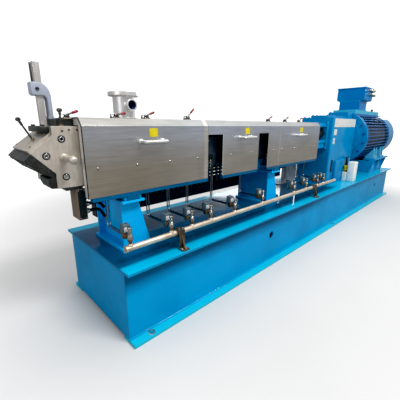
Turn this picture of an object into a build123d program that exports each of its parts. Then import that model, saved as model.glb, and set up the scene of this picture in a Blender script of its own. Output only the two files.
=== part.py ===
from build123d import *
import math
import os

# Machine axis runs along +X from the die to the motor, the floor is z = 0, the front with the water manifold
# faces -Y, and the origin is the centre of the base's underside.

# Driving dimensions, in millimetres
base_length = 5100
base_width = 740
base_height = 450
deck_overhang = 50
deck_left_overhang = 8
deck_thickness = 16
web_thickness = 12
flange_thickness = 20
flange_overhang = 55
flange_inset = 60
foundation_hole_radius = 13
foundation_hole_end_distance = 125
middle_foundation_hole_x = 187
foundation_hole_from_web = 28
lifting_hole_radius = 30
lifting_hole_z = 250
lifting_hole_xs = (-1155, 1892)
rib_count = 6
rib_thickness = 12

screw_axis_height = 1000
touch_gap = 0.3

# Barrel stands
stand_left_xs = (-2440, -960)
stand_top_width = 108
stand_foot_width = 182
stand_depth = 340
stand_height = 300
stand_plate = 12
stand_recess = 45
stand_foot_thickness = 18
stand_foot_margin = 16
stand_top_plate_thickness = 14
stand_top_depth = 440

# Barrel
barrel_left_x = -2618
barrel_right_x = -60
barrel_width = 230
barrel_depth = 180
segment_count = 10
joint_flange_length = 44
joint_flange_margin = 16
saddle_length = 90
saddle_width = 150
heater_thickness = 26
heater_under = 30
heater_side_drop = 6
heater_end_gap = 3

# Covers
cover_half_width = 220
cover_bottom_z = 812
cover_shoulder_z = 1162
cover_top_z = 1200
cover_top_half_width = 188
cover_top_inset_share = 0.6
cover_shoulder_inset_share = 0.4
cover_sheet = 3
cover_lefts = (-2632, -1803, -885)
cover_rights = (-1841, -885, -75)
cover_seam = 2
cutout_top_z = 1105
cutout_xs = ((-1803, -1643), (-1212, -1060))
rail_height = 22
rail_width = 30
rail_inset = 1
rail_end_inset = 18
seat_block_inset = 16
handle_centre_xs = (-2248, -1390, -536)
handle_length = 165
handle_z = 1078
handle_reach = 48
handle_radius = 11
die_clamp_x = -2655
clamp_xs = (-2400, -2210, -1890, -925, -632, -350)
clamp_y = -110
clamp_lever_rises = (8, 18, 48, 24, 26, 22)
clamp_foot_length = 40
clamp_foot_width = 28
clamp_foot_height = 8
clamp_post_length = 24
clamp_post_width = 16
clamp_post_height = 18
clamp_lever_reach = 52
clamp_lever_radius = 6

# Vent port
vent_x = -2289
vent_pipe_radius = 62
vent_pipe_wall = 5
vent_flange_radius = 87
vent_flange_thickness = 20
vent_top_z = 1346
vent_pipe_clearance = 2
vent_floor_thickness = 10
vent_boss_length = 170
vent_boss_width = 150
branch_radius = 28
branch_bore_radius = 24
branch_z = 1275
branch_reach = 92
branch_collar_radius = 33
branch_collar_length = 12
vent_bolt_circle_radius = 75
vent_bolt_hole_radius = 5.5
vent_bolt_count = 8

# Die head
die_half_width = 170
die_side_plate = 22
adapter_left_x = -2689
adapter_top_z = 1160
adapter_bottom_z = 876
die_top_left_x = -2746
die_notch_z = 1121
die_shoulder_x = -2841
die_shoulder_z = 1043
die_slot_x = -2750
die_slot_z = 948
die_body_proud = 15
die_plate_thickness = 42
strand_hole_count = 14
strand_hole_radius = 3
strand_hole_depth = 18
strand_row_margin = 40
strand_row_share = 0.3
face_bevel_share = 0.62
face_foot_share = 0.5
lower_clamp_reach = 0.5
lower_clamp_proud = 18
lower_clamp_drops = (12, 34, 56)
lower_clamp_near_y = -160
lower_clamp_far_y = -20
top_plate_thickness = 32
top_plate_left_x = -2708
top_plate_right_x = -2601
top_plate_half_width = 120
lock_bar_left_x = -2783
lock_bar_width = 36
lock_bar_height = 30
lock_bar_foot_width = 26
lock_bar_half_length = 76
slide_bar_width = 28
slide_bar_top_z = 1446
slide_bar_x = -2730
yoke_left_x = -2768
yoke_head_height = 58
yoke_head_top_z = 1356
yoke_depth = 56
yoke_arm_right_x = -2686
yoke_arm_thickness = 18
yoke_bend_radius = 40
yoke_chamfer = 6
probe_radius = 4
probe_head_radius = 9
probe_head_length = 26
probe_boss_radius = 9
probe_boss_height = 6
probe_length = 96
probe_stem_inset = 2
probe_lean_share = 0.6
sloping_probe_y = -58
upright_probe_x = -2699
upright_probe_y = -159
upright_probe_length = 64
knob_stem_radius = 14
knob_stem_length = 100
knob_ball_radius = 19
knob_x = -2706
knob_z = 1017
foot_plate_thickness = 16
foot_plate_reach = 27
foot_plate_right_gap = 20
junction_box_left_x = -2670
junction_box_length = 44
junction_box_depth = 95
junction_box_height = 162
plug_drops = (52, 90, 128)
plug_from_front = 34
plug_nut_radius = 14
plug_nut_length = 22
plug_sleeve_radius = 9
plug_sleeve_length = 24

# Water manifold
manifold_y = -340
manifold_height = 98
manifold_radius = 17
manifold_cap_length = 14
manifold_cap_proud = 2
manifold_left_x = -2522
manifold_right_x = 211
bracket_xs = (-2168, -362)
bracket_thickness = 8
bracket_width = 40
bracket_gap = 10
bracket_foot_margin = 6
bracket_foot_reach = 46
station_places = (0.5, 1.55, 2.18, 2.84, 3.82, 5.2, 7.26, 8.2, 9.2, 9.8)
valve_y = -296
valve_rise = 58
coil_size = 36
coil_height = 46
valve_body_size = 26
nipple_radius = 7
elbow_proud = 3
coil_set_back = 4
needle_radius = 9
needle_length = 42
tube_radius = 4
tube_pair_gap = 16
tube_rise_y = -100
tube_bend_radius = 30
rear_duct_left_x = -2440
rear_duct_right_x = -130
rear_duct_near_y = 182
rear_duct_width = 70
rear_duct_bottom_z = 572
rear_duct_height = 78
duct_spacer_length = 60
duct_post_x = -430
duct_post_length = 40
conduit_radius = 17

# Gearbox and lantern
lantern_left_x = -60
lantern_half_width = 130
lantern_bottom_z = 905
lantern_top_z = 1198
lantern_wall = 36
lantern_window_bottom_z = 1000
lantern_window_top_z = 1152
lantern_window_right_x = 300
coupling_sleeve_radius = 58
coupling_sleeve_gap = 8
gearbox_left_x = 330
gearbox_right_x = 1120
gearbox_half_width = 200
gearbox_top_z = 1262
gearbox_foot_thickness = 32
gearbox_foot_margin = 26
gearbox_cover_left_x = 380
gearbox_cover_half_width = 105
gearbox_cover_thickness = 26
gearbox_hump_left_x = 966
gearbox_hump_half_width = 130
gearbox_hump_top_z = 1345
gearbox_corner_radius = 18

# Motor
motor_axis_height = 1000
motor_flange_x = 1150
motor_flange_thickness = 30
motor_flange_radius = 356
coupling_radius = 264
motor_radius = 345
fin_depth = 30
fin_count = 44
fin_thickness = 9
motor_body_right_x = 2350
motor_pad_height = 37
motor_ring_length = 75
motor_pad_margin = 12
motor_pad_end_gap = 60
cowl_right_x = 2700
cowl_corner_radius = 60
motor_foot_xs = (1850, 2200)
motor_foot_length = 150
motor_foot_half_span = 330
motor_foot_thickness = 28
motor_foot_rib = 26
motor_foot_width = 130
motor_foot_rib_inset = 14
motor_foot_rib_top = 60
motor_foot_rib_edge = 4
motor_foot_rise_share = 0.42
pedestal_left_x = 1740
pedestal_right_x = 2420
pedestal_plate_overhang = 80
pedestal_opening_half = 190
pedestal_wall_clearance = 15
pedestal_edge_inset = 18
pedestal_gusset_reach = 62
motor_foot_drop = 328
pedestal_plate = 22
pedestal_gusset_inset = 6
terminal_left_x = 1345
terminal_right_x = 1700
terminal_half_width = 184
terminal_neck_height = 133
terminal_height = 179
terminal_lid = 14
terminal_lid_edge = 5
terminal_corner_radius = 24
neck_right_x = 1640
neck_half_width = 138
eye_x = 2240
eye_y = -60
eye_length = 66
eye_height = 48
eye_thickness = 16
eye_hole_radius = 12

# Lubrication unit
small_box = (70, 58, 124)
large_box = (112, 88, 262)
box_row_x = 764
box_row_y = -228
box_gap = 2
valve_neck_radius = 20
valve_neck_height = 26
valve_cap_radius = 25
valve_cap_height = 40

half_width = base_width / 2
half_length = base_length / 2
deck_top = base_height
deck_underside = deck_top - deck_thickness
stand_top = deck_top + stand_height + stand_top_plate_thickness
foot_plate_bottom_z = adapter_bottom_z - foot_plate_thickness
heater_bottom_z = screw_axis_height - barrel_depth / 2 - heater_under
pad_top_z = motor_axis_height + motor_radius + motor_pad_height
terminal_bottom_z = pad_top_z + terminal_neck_height
terminal_top_z = terminal_bottom_z + terminal_height
pedestal_top_z = motor_axis_height - motor_foot_drop
pedestal_top_half_width = half_width - pedestal_edge_inset
pedestal_half_width = pedestal_top_half_width - pedestal_gusset_reach
manifold_z = deck_top + manifold_height
valve_z = manifold_z + valve_rise


def block(x0, x1, y0, y1, z0, z1):
    """A box between two opposite corners."""
    return Pos((x0 + x1) / 2, (y0 + y1) / 2, (z0 + z1) / 2) * Box(x1 - x0, y1 - y0, z1 - z0)


def side_prism(points, y0, y1):
    """A straight prism across the machine whose outline is given as (x, z) points."""
    outline = Polyline([(x, y0, z) for x, z in points], close=True)
    return extrude(make_face(outline), amount=y1 - y0, dir=(0, 1, 0))


def end_prism(points, x0, x1):
    """A straight prism along the machine whose outline is given as (y, z) points."""
    outline = Polyline([(x0, y, z) for y, z in points], close=True)
    return extrude(make_face(outline), amount=x1 - x0, dir=(1, 0, 0))


def rod(start, end, radius):
    """A round bar between two points."""
    axis = Vector(*end) - Vector(*start)
    return Part(Solid.make_cylinder(radius, axis.length, Plane(origin=start, z_dir=axis)).wrapped)


def keep(shape, name):
    """Writes one piece, or several like pieces, as one STEP file."""
    export_step(shape, f"parts/{name}.step")


def gather(shapes):
    """Puts like pieces that don't touch in one file."""
    return Compound(children=[solid for shape in shapes for solid in shape.solids()])


def deck_plate():
    return block(-half_length - deck_left_overhang, half_length + deck_overhang,
                 -half_width - deck_overhang, half_width + deck_overhang, deck_underside, deck_top)


def foundation_hole_xs():
    end_x = half_length - foundation_hole_end_distance
    return (-end_x, middle_foundation_hole_x, end_x)


def side_beam(side):
    """Web and bottom flange of one long side; side is -1 at the front and +1 at the back."""
    web_out = side * half_width
    web_in = side * (half_width - web_thickness)
    flange_out = side * (half_width + flange_overhang)
    flange_in = side * (half_width - flange_inset)
    web = block(-half_length, half_length, min(web_out, web_in), max(web_out, web_in),
                flange_thickness, deck_underside)
    flange = block(-half_length, half_length, min(flange_out, flange_in), max(flange_out, flange_in),
                   0, flange_thickness)
    beam = web + flange
    for x in foundation_hole_xs():
        hole_y = side * (half_width + foundation_hole_from_web)
        beam -= rod((x, hole_y, -1), (x, hole_y, flange_thickness + 1), foundation_hole_radius)
    for x in lifting_hole_xs:
        beam -= rod((x, web_in - side, lifting_hole_z), (x, web_out + side, lifting_hole_z), lifting_hole_radius)
    return beam


def end_plates():
    """End webs between the two side webs."""
    inside = half_width - web_thickness
    plates = []
    for side in (-1, 1):
        low, high = sorted((side * half_length, side * (half_length - web_thickness)))
        plates.append(block(low, high, -inside, inside, flange_thickness, deck_underside))
    return gather(plates)


def cross_ribs():
    """Plates across the inside of the base, seated on the webs and under the deck."""
    inside = half_width - web_thickness
    pitch = base_length / (rib_count + 1)
    ribs = []
    for n in range(1, rib_count + 1):
        x = -half_length + n * pitch
        ribs.append(block(x, x + rib_thickness, -inside, inside, flange_thickness, deck_underside))
    return gather(ribs)


def nearest_segment_middle(x):
    """Middle of the barrel segment that x falls in, clear of the joint flanges."""
    pitch = (barrel_right_x - barrel_left_x) / segment_count
    return barrel_left_x + (math.floor((x - barrel_left_x) / pitch) + 0.5) * pitch


def stand(left_x):
    """Welded stand, open towards the die, that tapers to the top on its other side."""
    foot_top = deck_top + stand_foot_thickness
    top = deck_top + stand_height
    half = stand_depth / 2
    outline = [(left_x, foot_top), (left_x + stand_foot_width, foot_top), (left_x + stand_top_width, top),
               (left_x, top)]
    body = side_prism(outline, -half, half)
    pocket = block(left_x - 1, left_x + stand_recess, -half + stand_plate, half - stand_plate, foot_top, top)
    foot = block(left_x - stand_foot_margin, left_x + stand_foot_width + stand_foot_margin,
                 -half - stand_foot_margin, half + stand_foot_margin, deck_top, foot_top)
    cap = block(left_x - stand_foot_margin, left_x + stand_top_width + stand_foot_margin,
                -stand_top_depth / 2, stand_top_depth / 2, top, stand_top)
    middle = nearest_segment_middle(left_x + stand_top_width / 2)
    saddle = block(middle - saddle_length / 2, middle + saddle_length / 2, -saddle_width / 2, saddle_width / 2,
                   stand_top, heater_bottom_z)
    return body - pocket + foot + cap + saddle


def seat_block(left_x, side):
    """Block that seats a cover rail on a stand."""
    outer = cover_half_width - rail_inset
    low, high = sorted((side * outer, side * (outer - rail_width)))
    return block(left_x + seat_block_inset, left_x + stand_top_width - seat_block_inset, low, high,
                 stand_top, cover_bottom_z - rail_height)


def cover_rails():
    """Rails under the covers' edges: one whole rail at the back, one per closed stretch at the front."""
    rail_bottom = cover_bottom_z - rail_height
    outer = cover_half_width - rail_inset
    left_end = cover_lefts[0] + rail_end_inset
    front_lefts = [left_end] + [high for low, high in cutout_xs]
    front_rights = [low for low, high in cutout_xs] + [cover_rights[-1]]
    rails = []
    for left, right in zip(front_lefts, front_rights):
        rail = block(left, right, -outer, -outer + rail_width, rail_bottom, cover_bottom_z)
        for left_x in stand_left_xs:
            if left < left_x and left_x + stand_top_width < right:
                rail += seat_block(left_x, -1)
        rails.append(rail)
    back = block(left_end, cover_rights[-1], outer - rail_width, outer, rail_bottom, cover_bottom_z)
    for left_x in stand_left_xs:
        back += seat_block(left_x, 1)
    return gather(rails + [back])


def barrel():
    """Segmented twin-screw barrel: a long block with a thicker flange at every joint."""
    bottom = screw_axis_height - barrel_depth / 2
    top = screw_axis_height + barrel_depth / 2
    half = barrel_width / 2
    body = block(barrel_left_x, barrel_right_x, -half, half, bottom, top)
    pitch = (barrel_right_x - barrel_left_x) / segment_count
    margin = joint_flange_margin
    body += block(vent_x - vent_boss_length / 2, vent_x + vent_boss_length / 2, -vent_boss_width / 2,
                  vent_boss_width / 2, top, top + margin)
    for n in range(segment_count + 1):
        middle = barrel_left_x + n * pitch
        low = max(middle - joint_flange_length / 2, barrel_left_x)
        high = min(middle + joint_flange_length / 2, barrel_right_x)
        body += block(low, high, -half - margin, half + margin, bottom - margin, top + margin)
    return body


def heater_shells():
    """Cast heaters round the sides and the underside of each barrel segment, between the joint flanges."""
    bottom = screw_axis_height - barrel_depth / 2
    top = screw_axis_height + barrel_depth / 2
    half = barrel_width / 2
    pitch = (barrel_right_x - barrel_left_x) / segment_count
    margin = joint_flange_length / 2 + heater_end_gap
    shells = []
    for n in range(segment_count):
        left = barrel_left_x + n * pitch + margin
        right = barrel_left_x + (n + 1) * pitch - margin
        if n == 0:
            left += joint_flange_length / 2
        shell = block(left, right, -half - heater_thickness, half + heater_thickness, heater_bottom_z,
                      top - heater_side_drop)
        shells.append(shell - block(left - 1, right + 1, -half, half, bottom, top))
    return gather(shells)


def cover_outline(inset):
    """Half-hexagonal cross-section of the covers, open at the bottom."""
    half = cover_half_width - inset
    top_half = cover_top_half_width - inset * cover_top_inset_share
    bottom = cover_bottom_z if inset == 0 else cover_bottom_z - 1
    shoulder = cover_shoulder_z - inset * cover_shoulder_inset_share
    return [(-half, bottom), (-half, shoulder), (-top_half, cover_top_z - inset),
            (top_half, cover_top_z - inset), (half, shoulder), (half, bottom)]


def cover(number):
    """One stainless cover: a bent sheet over the barrel, with end walls on the outermost ones."""
    left = cover_lefts[number] + (cover_seam if number else 0)
    right = cover_rights[number]
    shell = end_prism(cover_outline(0), left, right) - end_prism(cover_outline(cover_sheet), left - 1, right + 1)
    for low, high in cutout_xs:
        if low >= cover_lefts[number] - 1 and high <= right:
            window = block(max(low, left - 1), high, -cover_half_width - 1, cover_half_width + 1,
                           cover_bottom_z - 1, cutout_top_z)
            shell -= window
    if number == 0:
        shell -= rod((vent_x, 0, screw_axis_height), (vent_x, 0, cover_top_z + 1),
                     vent_pipe_radius + vent_pipe_clearance)
    return shell


def seam_band():
    """Narrow sheet band that closes the joint between the left and middle covers."""
    left = cover_rights[0]
    right = cover_lefts[1]
    return end_prism(cover_outline(0), left, right) - end_prism(cover_outline(cover_sheet), left - 1, right + 1)


def cover_handles():
    """Round-bar pull handles on the front and the back of the covers."""
    handles = []
    for middle in handle_centre_xs:
        for side in (-1, 1):
            root = side * cover_half_width
            tip = side * (cover_half_width + handle_reach)
            leg = handle_length / 2 - handle_radius
            bar = rod((middle - leg, tip, handle_z), (middle + leg, tip, handle_z), handle_radius)
            for x in (middle - leg, middle + leg):
                bar += rod((x, root, handle_z), (x, tip, handle_z), handle_radius)
                bar += Pos(x, tip, handle_z) * Sphere(handle_radius)
            handles.append(bar)
    return gather(handles)


def toggle_clamp(x, seat_z, rise):
    """Clamp with a foot, a post and a lever that leans up by the given rise."""
    foot_top = seat_z + clamp_foot_height
    post_top = foot_top + clamp_post_height
    half_length = clamp_foot_length / 2
    half_width = clamp_foot_width / 2
    half_post = clamp_post_length / 2
    lever_z = post_top - clamp_lever_radius
    foot = block(x - half_length, x + half_length, clamp_y - half_width, clamp_y + half_width, seat_z, foot_top)
    post = block(x - half_post, x + half_post, clamp_y - clamp_post_width / 2, clamp_y + clamp_post_width / 2,
                 foot_top, post_top)
    return foot + post + rod((x, clamp_y, lever_z), (x + clamp_lever_reach, clamp_y, lever_z + rise),
                             clamp_lever_radius)


def cover_clamps():
    """Toggle clamps on the covers' tops, and one on the plate over the die."""
    clamps = [toggle_clamp(x, cover_top_z, rise) for x, rise in zip(clamp_xs, clamp_lever_rises)]
    clamps.append(toggle_clamp(die_clamp_x, adapter_top_z + top_plate_thickness, clamp_lever_rises[1]))
    return gather(clamps)


def vent_port():
    """Flanged vent pipe that stands on the barrel, with an open branch towards the front."""
    barrel_top = screw_axis_height + barrel_depth / 2 + joint_flange_margin
    inner = vent_pipe_radius - vent_pipe_wall
    pipe = rod((vent_x, 0, barrel_top), (vent_x, 0, vent_top_z), vent_pipe_radius)
    flange = rod((vent_x, 0, vent_top_z - vent_flange_thickness), (vent_x, 0, vent_top_z), vent_flange_radius)
    branch = rod((vent_x, 0, branch_z), (vent_x, -branch_reach, branch_z), branch_radius)
    collar = rod((vent_x, -branch_reach, branch_z),
                 (vent_x, -branch_reach + branch_collar_length, branch_z), branch_collar_radius)
    port = pipe + flange + branch + collar
    port -= rod((vent_x, 0, barrel_top + vent_floor_thickness), (vent_x, 0, vent_top_z + 1), inner)
    port -= rod((vent_x, 0, branch_z), (vent_x, -branch_reach - 1, branch_z), branch_bore_radius)
    for n in range(vent_bolt_count):
        angle = math.radians((n + 0.5) * 360 / vent_bolt_count)
        x = vent_x + vent_bolt_circle_radius * math.cos(angle)
        y = vent_bolt_circle_radius * math.sin(angle)
        port -= rod((x, y, vent_top_z - vent_flange_thickness - 1), (x, y, vent_top_z + 1), vent_bolt_hole_radius)
    return port


def adapter_flange():
    """Adapter between the barrel's end and the die."""
    return block(adapter_left_x, barrel_left_x, -die_half_width, die_half_width, adapter_bottom_z, adapter_top_z)


def die_outline(proud):
    """Side outline of the die head; proud lifts its sloping top along that top's normal."""
    run = die_top_left_x - die_shoulder_x
    rise = die_notch_z - die_shoulder_z
    length = math.hypot(run, rise)
    lift_x = -proud * rise / length
    lift_z = proud * run / length
    return [(adapter_left_x, adapter_bottom_z), (adapter_left_x, adapter_top_z), (die_top_left_x, adapter_top_z),
            (die_top_left_x, die_notch_z + (lift_z if proud else 0)),
            (die_shoulder_x + lift_x, die_shoulder_z + lift_z),
            (die_slot_x, die_slot_z), (die_slot_x, adapter_bottom_z)]


def die_side_plates():
    inner = die_half_width - die_side_plate
    return gather([side_prism(die_outline(0), -die_half_width, -inner),
                   side_prism(die_outline(0), inner, die_half_width)])


def die_body():
    inner = die_half_width - die_side_plate
    return side_prism(die_outline(die_body_proud), -inner, inner)


def die_slope():
    """Unit direction down the die's lower left edge and the outward normal of that edge."""
    run = die_slot_x - die_shoulder_x
    drop = die_shoulder_z - die_slot_z
    length = math.hypot(run, drop)
    along = (run / length, -drop / length)
    outward = (-drop / length, -run / length)
    return along, outward, length


def die_face_plate():
    """Thick plate on the die's sloping face, with one row of strand holes."""
    along, outward, length = die_slope()
    thick = die_plate_thickness
    a = (die_shoulder_x, die_shoulder_z)
    d = (die_slot_x, die_slot_z)
    b = (a[0] + outward[0] * thick, a[1] + outward[1] * thick)
    flat = length * face_bevel_share
    c = (b[0] + along[0] * flat, b[1] + along[1] * flat)
    foot = thick * face_foot_share
    e = (d[0] + outward[0] * foot, d[1] + outward[1] * foot)
    plate = side_prism([a, b, c, e, d], -die_half_width, die_half_width)
    pitch = 2 * (die_half_width - strand_row_margin) / (strand_hole_count - 1)
    row = length * strand_row_share
    for n in range(strand_hole_count):
        y = -die_half_width + strand_row_margin + n * pitch
        x = b[0] + along[0] * row
        z = b[1] + along[1] * row
        inward = (x - outward[0] * strand_hole_depth, y, z - outward[1] * strand_hole_depth)
        outside = (x + outward[0], y, z + outward[1])
        plate -= rod(inward, outside, strand_hole_radius)
    return plate


def lower_die_clamp():
    """Dark clamp block under the near half of the die face plate."""
    along, outward, length = die_slope()
    reach = die_plate_thickness * lower_clamp_reach
    top = (die_slot_x, die_slot_z)
    face = (top[0] + outward[0] * reach, top[1] + outward[1] * reach)
    outline = [top, face, (face[0] - lower_clamp_proud, face[1] - lower_clamp_drops[0]),
               (face[0] - lower_clamp_proud, face[1] - lower_clamp_drops[1]),
               (face[0] - lower_clamp_proud / 2, face[1] - lower_clamp_drops[2]),
               (die_slot_x, adapter_bottom_z)]
    return side_prism(outline, lower_clamp_near_y, lower_clamp_far_y)


def die_top_plate():
    z0 = adapter_top_z
    return block(top_plate_left_x, top_plate_right_x, -top_plate_half_width, top_plate_half_width,
                 z0, z0 + top_plate_thickness)


def slide_bar():
    """Square upright bar that stands on the die."""
    half = slide_bar_width / 2
    return block(slide_bar_x - half, slide_bar_x + half, -half, half, adapter_top_z, slide_bar_top_z)


def slide_yoke():
    """Cast yoke: a head round the upright bar and an arm that curves down to the top plate."""
    head_bottom = yoke_head_top_z - yoke_head_height
    right = yoke_arm_right_x
    foot = adapter_top_z + top_plate_thickness
    bend = yoke_bend_radius
    outer = [(yoke_left_x, head_bottom), (yoke_left_x, yoke_head_top_z), (right - bend, yoke_head_top_z)]
    steps = 6
    for n in range(1, steps + 1):
        angle = math.radians(90 - n * 90 / steps)
        outer.append((right - bend + bend * math.cos(angle), yoke_head_top_z - bend + bend * math.sin(angle)))
    inner_x = right - yoke_arm_thickness
    outer += [(right, foot), (inner_x, foot), (inner_x, head_bottom + yoke_chamfer),
              (inner_x - yoke_chamfer, head_bottom)]
    body = side_prism(outer, -yoke_depth / 2, yoke_depth / 2)
    half = slide_bar_width / 2
    return body - block(slide_bar_x - half, slide_bar_x + half, -half, half, head_bottom - 1, yoke_head_top_z + 1)


def lock_bar():
    """Bar across the top of the die's slope; its rear part is cut to the slope and stands on it."""
    top_line = die_outline(die_body_proud)
    high, low = top_line[3], top_line[4]
    slope = (high[1] - low[1]) / (high[0] - low[0])
    left = lock_bar_left_x
    right = left + lock_bar_width
    foot = right - lock_bar_foot_width
    under = adapter_top_z - lock_bar_height
    outline = [(left, under), (left, adapter_top_z), (right, adapter_top_z),
               (right, high[1] + slope * (right - high[0])), (foot, high[1] + slope * (foot - high[0])),
               (foot, under)]
    return side_prism(outline, -lock_bar_half_length, lock_bar_half_length)


def probe(foot, seat_normal, lean, length):
    """T-headed stem in a round boss; the boss stands square on its seat and the stem may lean."""
    normal = Vector(*seat_normal).normalized()
    seat = Vector(*foot)
    boss_top = seat + normal * probe_boss_height
    tip = boss_top + Vector(*lean).normalized() * length
    across = Vector(0, probe_head_length / 2, 0)
    boss = rod(tuple(seat), tuple(boss_top), probe_boss_radius)
    stem = rod(tuple(boss_top - normal * probe_stem_inset), tuple(tip), probe_radius)
    return boss + stem + rod(tuple(tip - across), tuple(tip + across), probe_head_radius)


def melt_probes():
    """One stem on the slope and one on the adapter's top."""
    top_line = die_outline(die_body_proud)
    high, low = top_line[3], top_line[4]
    middle_x = (high[0] + low[0]) / 2
    middle_z = (high[1] + low[1]) / 2
    normal = (-(high[1] - low[1]), 0, high[0] - low[0])
    lean = (normal[0] * probe_lean_share, 0, normal[2])
    sloping = probe((middle_x, sloping_probe_y, middle_z), normal, lean, probe_length)
    upright = probe((upright_probe_x, upright_probe_y, adapter_top_z), (0, 0, 1), (0, 0, 1), upright_probe_length)
    return gather([sloping, upright])


def clamp_knob():
    """Ball-ended clamp handle that stands out from the front of the die."""
    root = -die_half_width
    end = root - knob_stem_length
    return rod((knob_x, root, knob_z), (knob_x, end, knob_z), knob_stem_radius) + \
        Pos(knob_x, end - knob_ball_radius / 2, knob_z) * Sphere(knob_ball_radius)


def die_foot_plate():
    return block(adapter_left_x - foot_plate_reach, barrel_left_x - foot_plate_right_gap, -die_half_width,
                 die_half_width, foot_plate_bottom_z, adapter_bottom_z)


def junction_box():
    """Small box under the die's foot plate."""
    return block(junction_box_left_x, junction_box_left_x + junction_box_length, -die_half_width,
                 -die_half_width + junction_box_depth, foot_plate_bottom_z - junction_box_height,
                 foot_plate_bottom_z)


def junction_connectors():
    """Round plugs on the right side of the junction box."""
    root = junction_box_left_x + junction_box_length
    nut_end = root + plug_nut_length
    y = -die_half_width + plug_from_front
    plugs = []
    for drop in plug_drops:
        z = foot_plate_bottom_z - drop
        nut = rod((root, y, z), (nut_end, y, z), plug_nut_radius)
        plugs.append(nut + rod((nut_end, y, z), (nut_end + plug_sleeve_length, y, z), plug_sleeve_radius))
    return gather(plugs)


def station_xs():
    pitch = (barrel_right_x - barrel_left_x) / segment_count
    return [barrel_left_x + place * pitch for place in station_places]


def water_manifold():
    """Header pipe along the front with a cap at each end."""
    pipe = rod((manifold_left_x, manifold_y, manifold_z), (manifold_right_x, manifold_y, manifold_z),
               manifold_radius)
    for x, step in ((manifold_left_x, manifold_cap_length), (manifold_right_x, -manifold_cap_length)):
        pipe += rod((x, manifold_y, manifold_z), (x + step, manifold_y, manifold_z),
                    manifold_radius + manifold_cap_proud)
    return pipe


def manifold_brackets():
    """Brackets from the deck that hold the header pipe between a seat and a strap."""
    brackets = []
    seat_top = manifold_z - manifold_radius - touch_gap
    strap_bottom = manifold_z + manifold_radius + touch_gap
    front = manifold_y - manifold_radius - bracket_gap
    for x in bracket_xs:
        x0 = x - bracket_width / 2
        x1 = x + bracket_width / 2
        thick = bracket_thickness
        riser = block(x0, x1, front - thick, front, deck_top, strap_bottom + thick)
        foot = block(x0 - bracket_foot_margin, x1 + bracket_foot_margin, front - bracket_foot_reach, front,
                     deck_top, deck_top + thick)
        seat = block(x0, x1, front, manifold_y + manifold_radius, seat_top - thick, seat_top)
        strap = block(x0, x1, front, manifold_y + manifold_radius, strap_bottom, strap_bottom + thick)
        brackets.append(riser + foot + seat + strap)
    return gather(brackets)


def valve_bodies():
    """Per station: nipple up from the header, elbow, valve body and needle stem."""
    half = valve_body_size / 2
    header = rod((manifold_left_x, manifold_y, manifold_z), (manifold_right_x, manifold_y, manifold_z),
                 manifold_radius + touch_gap)
    shapes = []
    for x in station_xs():
        nipple = rod((x, manifold_y, manifold_z), (x, manifold_y, valve_z), nipple_radius) - header
        elbow = rod((x, manifold_y, valve_z), (x, valve_y, valve_z), nipple_radius)
        corner = Pos(x, manifold_y, valve_z) * Sphere(nipple_radius + elbow_proud)
        body = block(x - half, x + half, valve_y - half, valve_y + half, valve_z - half, valve_z + half)
        needle = rod((x, manifold_y, valve_z), (x, manifold_y, valve_z + needle_length), needle_radius)
        shapes.append(nipple + elbow + corner + body + needle)
    return gather(shapes)


def solenoid_coils():
    """Square coil above each valve body."""
    half = coil_size / 2
    base = valve_z + valve_body_size / 2
    middle_y = valve_y + coil_set_back
    return gather([block(x - half, x + half, middle_y - half, middle_y + half, base, base + coil_height)
                   for x in station_xs()])


def cooling_tubes():
    """A pair of thin tubes from each valve back under the barrel and up into it."""
    start_y = valve_y + valve_body_size / 2
    tubes = []
    for x in station_xs():
        for side in (-1, 1):
            tube_x = x + side * tube_pair_gap / 2
            path = FilletPolyline((tube_x, start_y, valve_z), (tube_x, tube_rise_y, valve_z),
                                  (tube_x, tube_rise_y, heater_bottom_z), radius=tube_bend_radius)
            section = Plane(origin=(tube_x, start_y, valve_z), z_dir=(0, 1, 0)) * Circle(tube_radius)
            tubes.append(sweep(section, path=path))
    return gather(tubes)


def rear_cable_duct():
    """Closed cable duct along the back of the stands, under the covers."""
    return block(rear_duct_left_x, rear_duct_right_x, rear_duct_near_y, rear_duct_near_y + rear_duct_width,
                 rear_duct_bottom_z, rear_duct_bottom_z + rear_duct_height)


def rear_duct_supports():
    """Spacers that hold the duct on the stands' backs, and one post under its free end."""
    half = duct_spacer_length / 2
    pieces = []
    for left_x in stand_left_xs:
        middle = left_x + stand_top_width / 2
        pieces.append(block(middle - half, middle + half, stand_depth / 2, rear_duct_near_y, rear_duct_bottom_z,
                            rear_duct_bottom_z + rear_duct_height))
    pieces.append(block(duct_post_x - duct_post_length / 2, duct_post_x + duct_post_length / 2, rear_duct_near_y,
                        rear_duct_near_y + rear_duct_width, deck_top, rear_duct_bottom_z))
    return gather(pieces)


def heater_conduits():
    """Three conduits along the top of the rear duct, two side by side and one on them."""
    pitch = 2 * (conduit_radius + touch_gap)
    middle_y = rear_duct_near_y + rear_duct_width / 2
    low_z = rear_duct_bottom_z + rear_duct_height + conduit_radius + touch_gap
    places = [(middle_y - pitch / 2, low_z), (middle_y + pitch / 2, low_z),
              (middle_y, low_z + pitch * math.sqrt(3) / 2)]
    return gather([rod((rear_duct_left_x, y, z), (rear_duct_right_x, y, z), conduit_radius) for y, z in places])


def lantern_housing():
    """Open housing between the barrel and the gearbox, with a window through both sides."""
    body = block(lantern_left_x, gearbox_left_x, -lantern_half_width, lantern_half_width,
                 lantern_bottom_z, lantern_top_z)
    window = block(lantern_left_x + lantern_wall, lantern_window_right_x, -lantern_half_width - 1,
                   lantern_half_width + 1, lantern_window_bottom_z, lantern_window_top_z)
    return body - window


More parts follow.
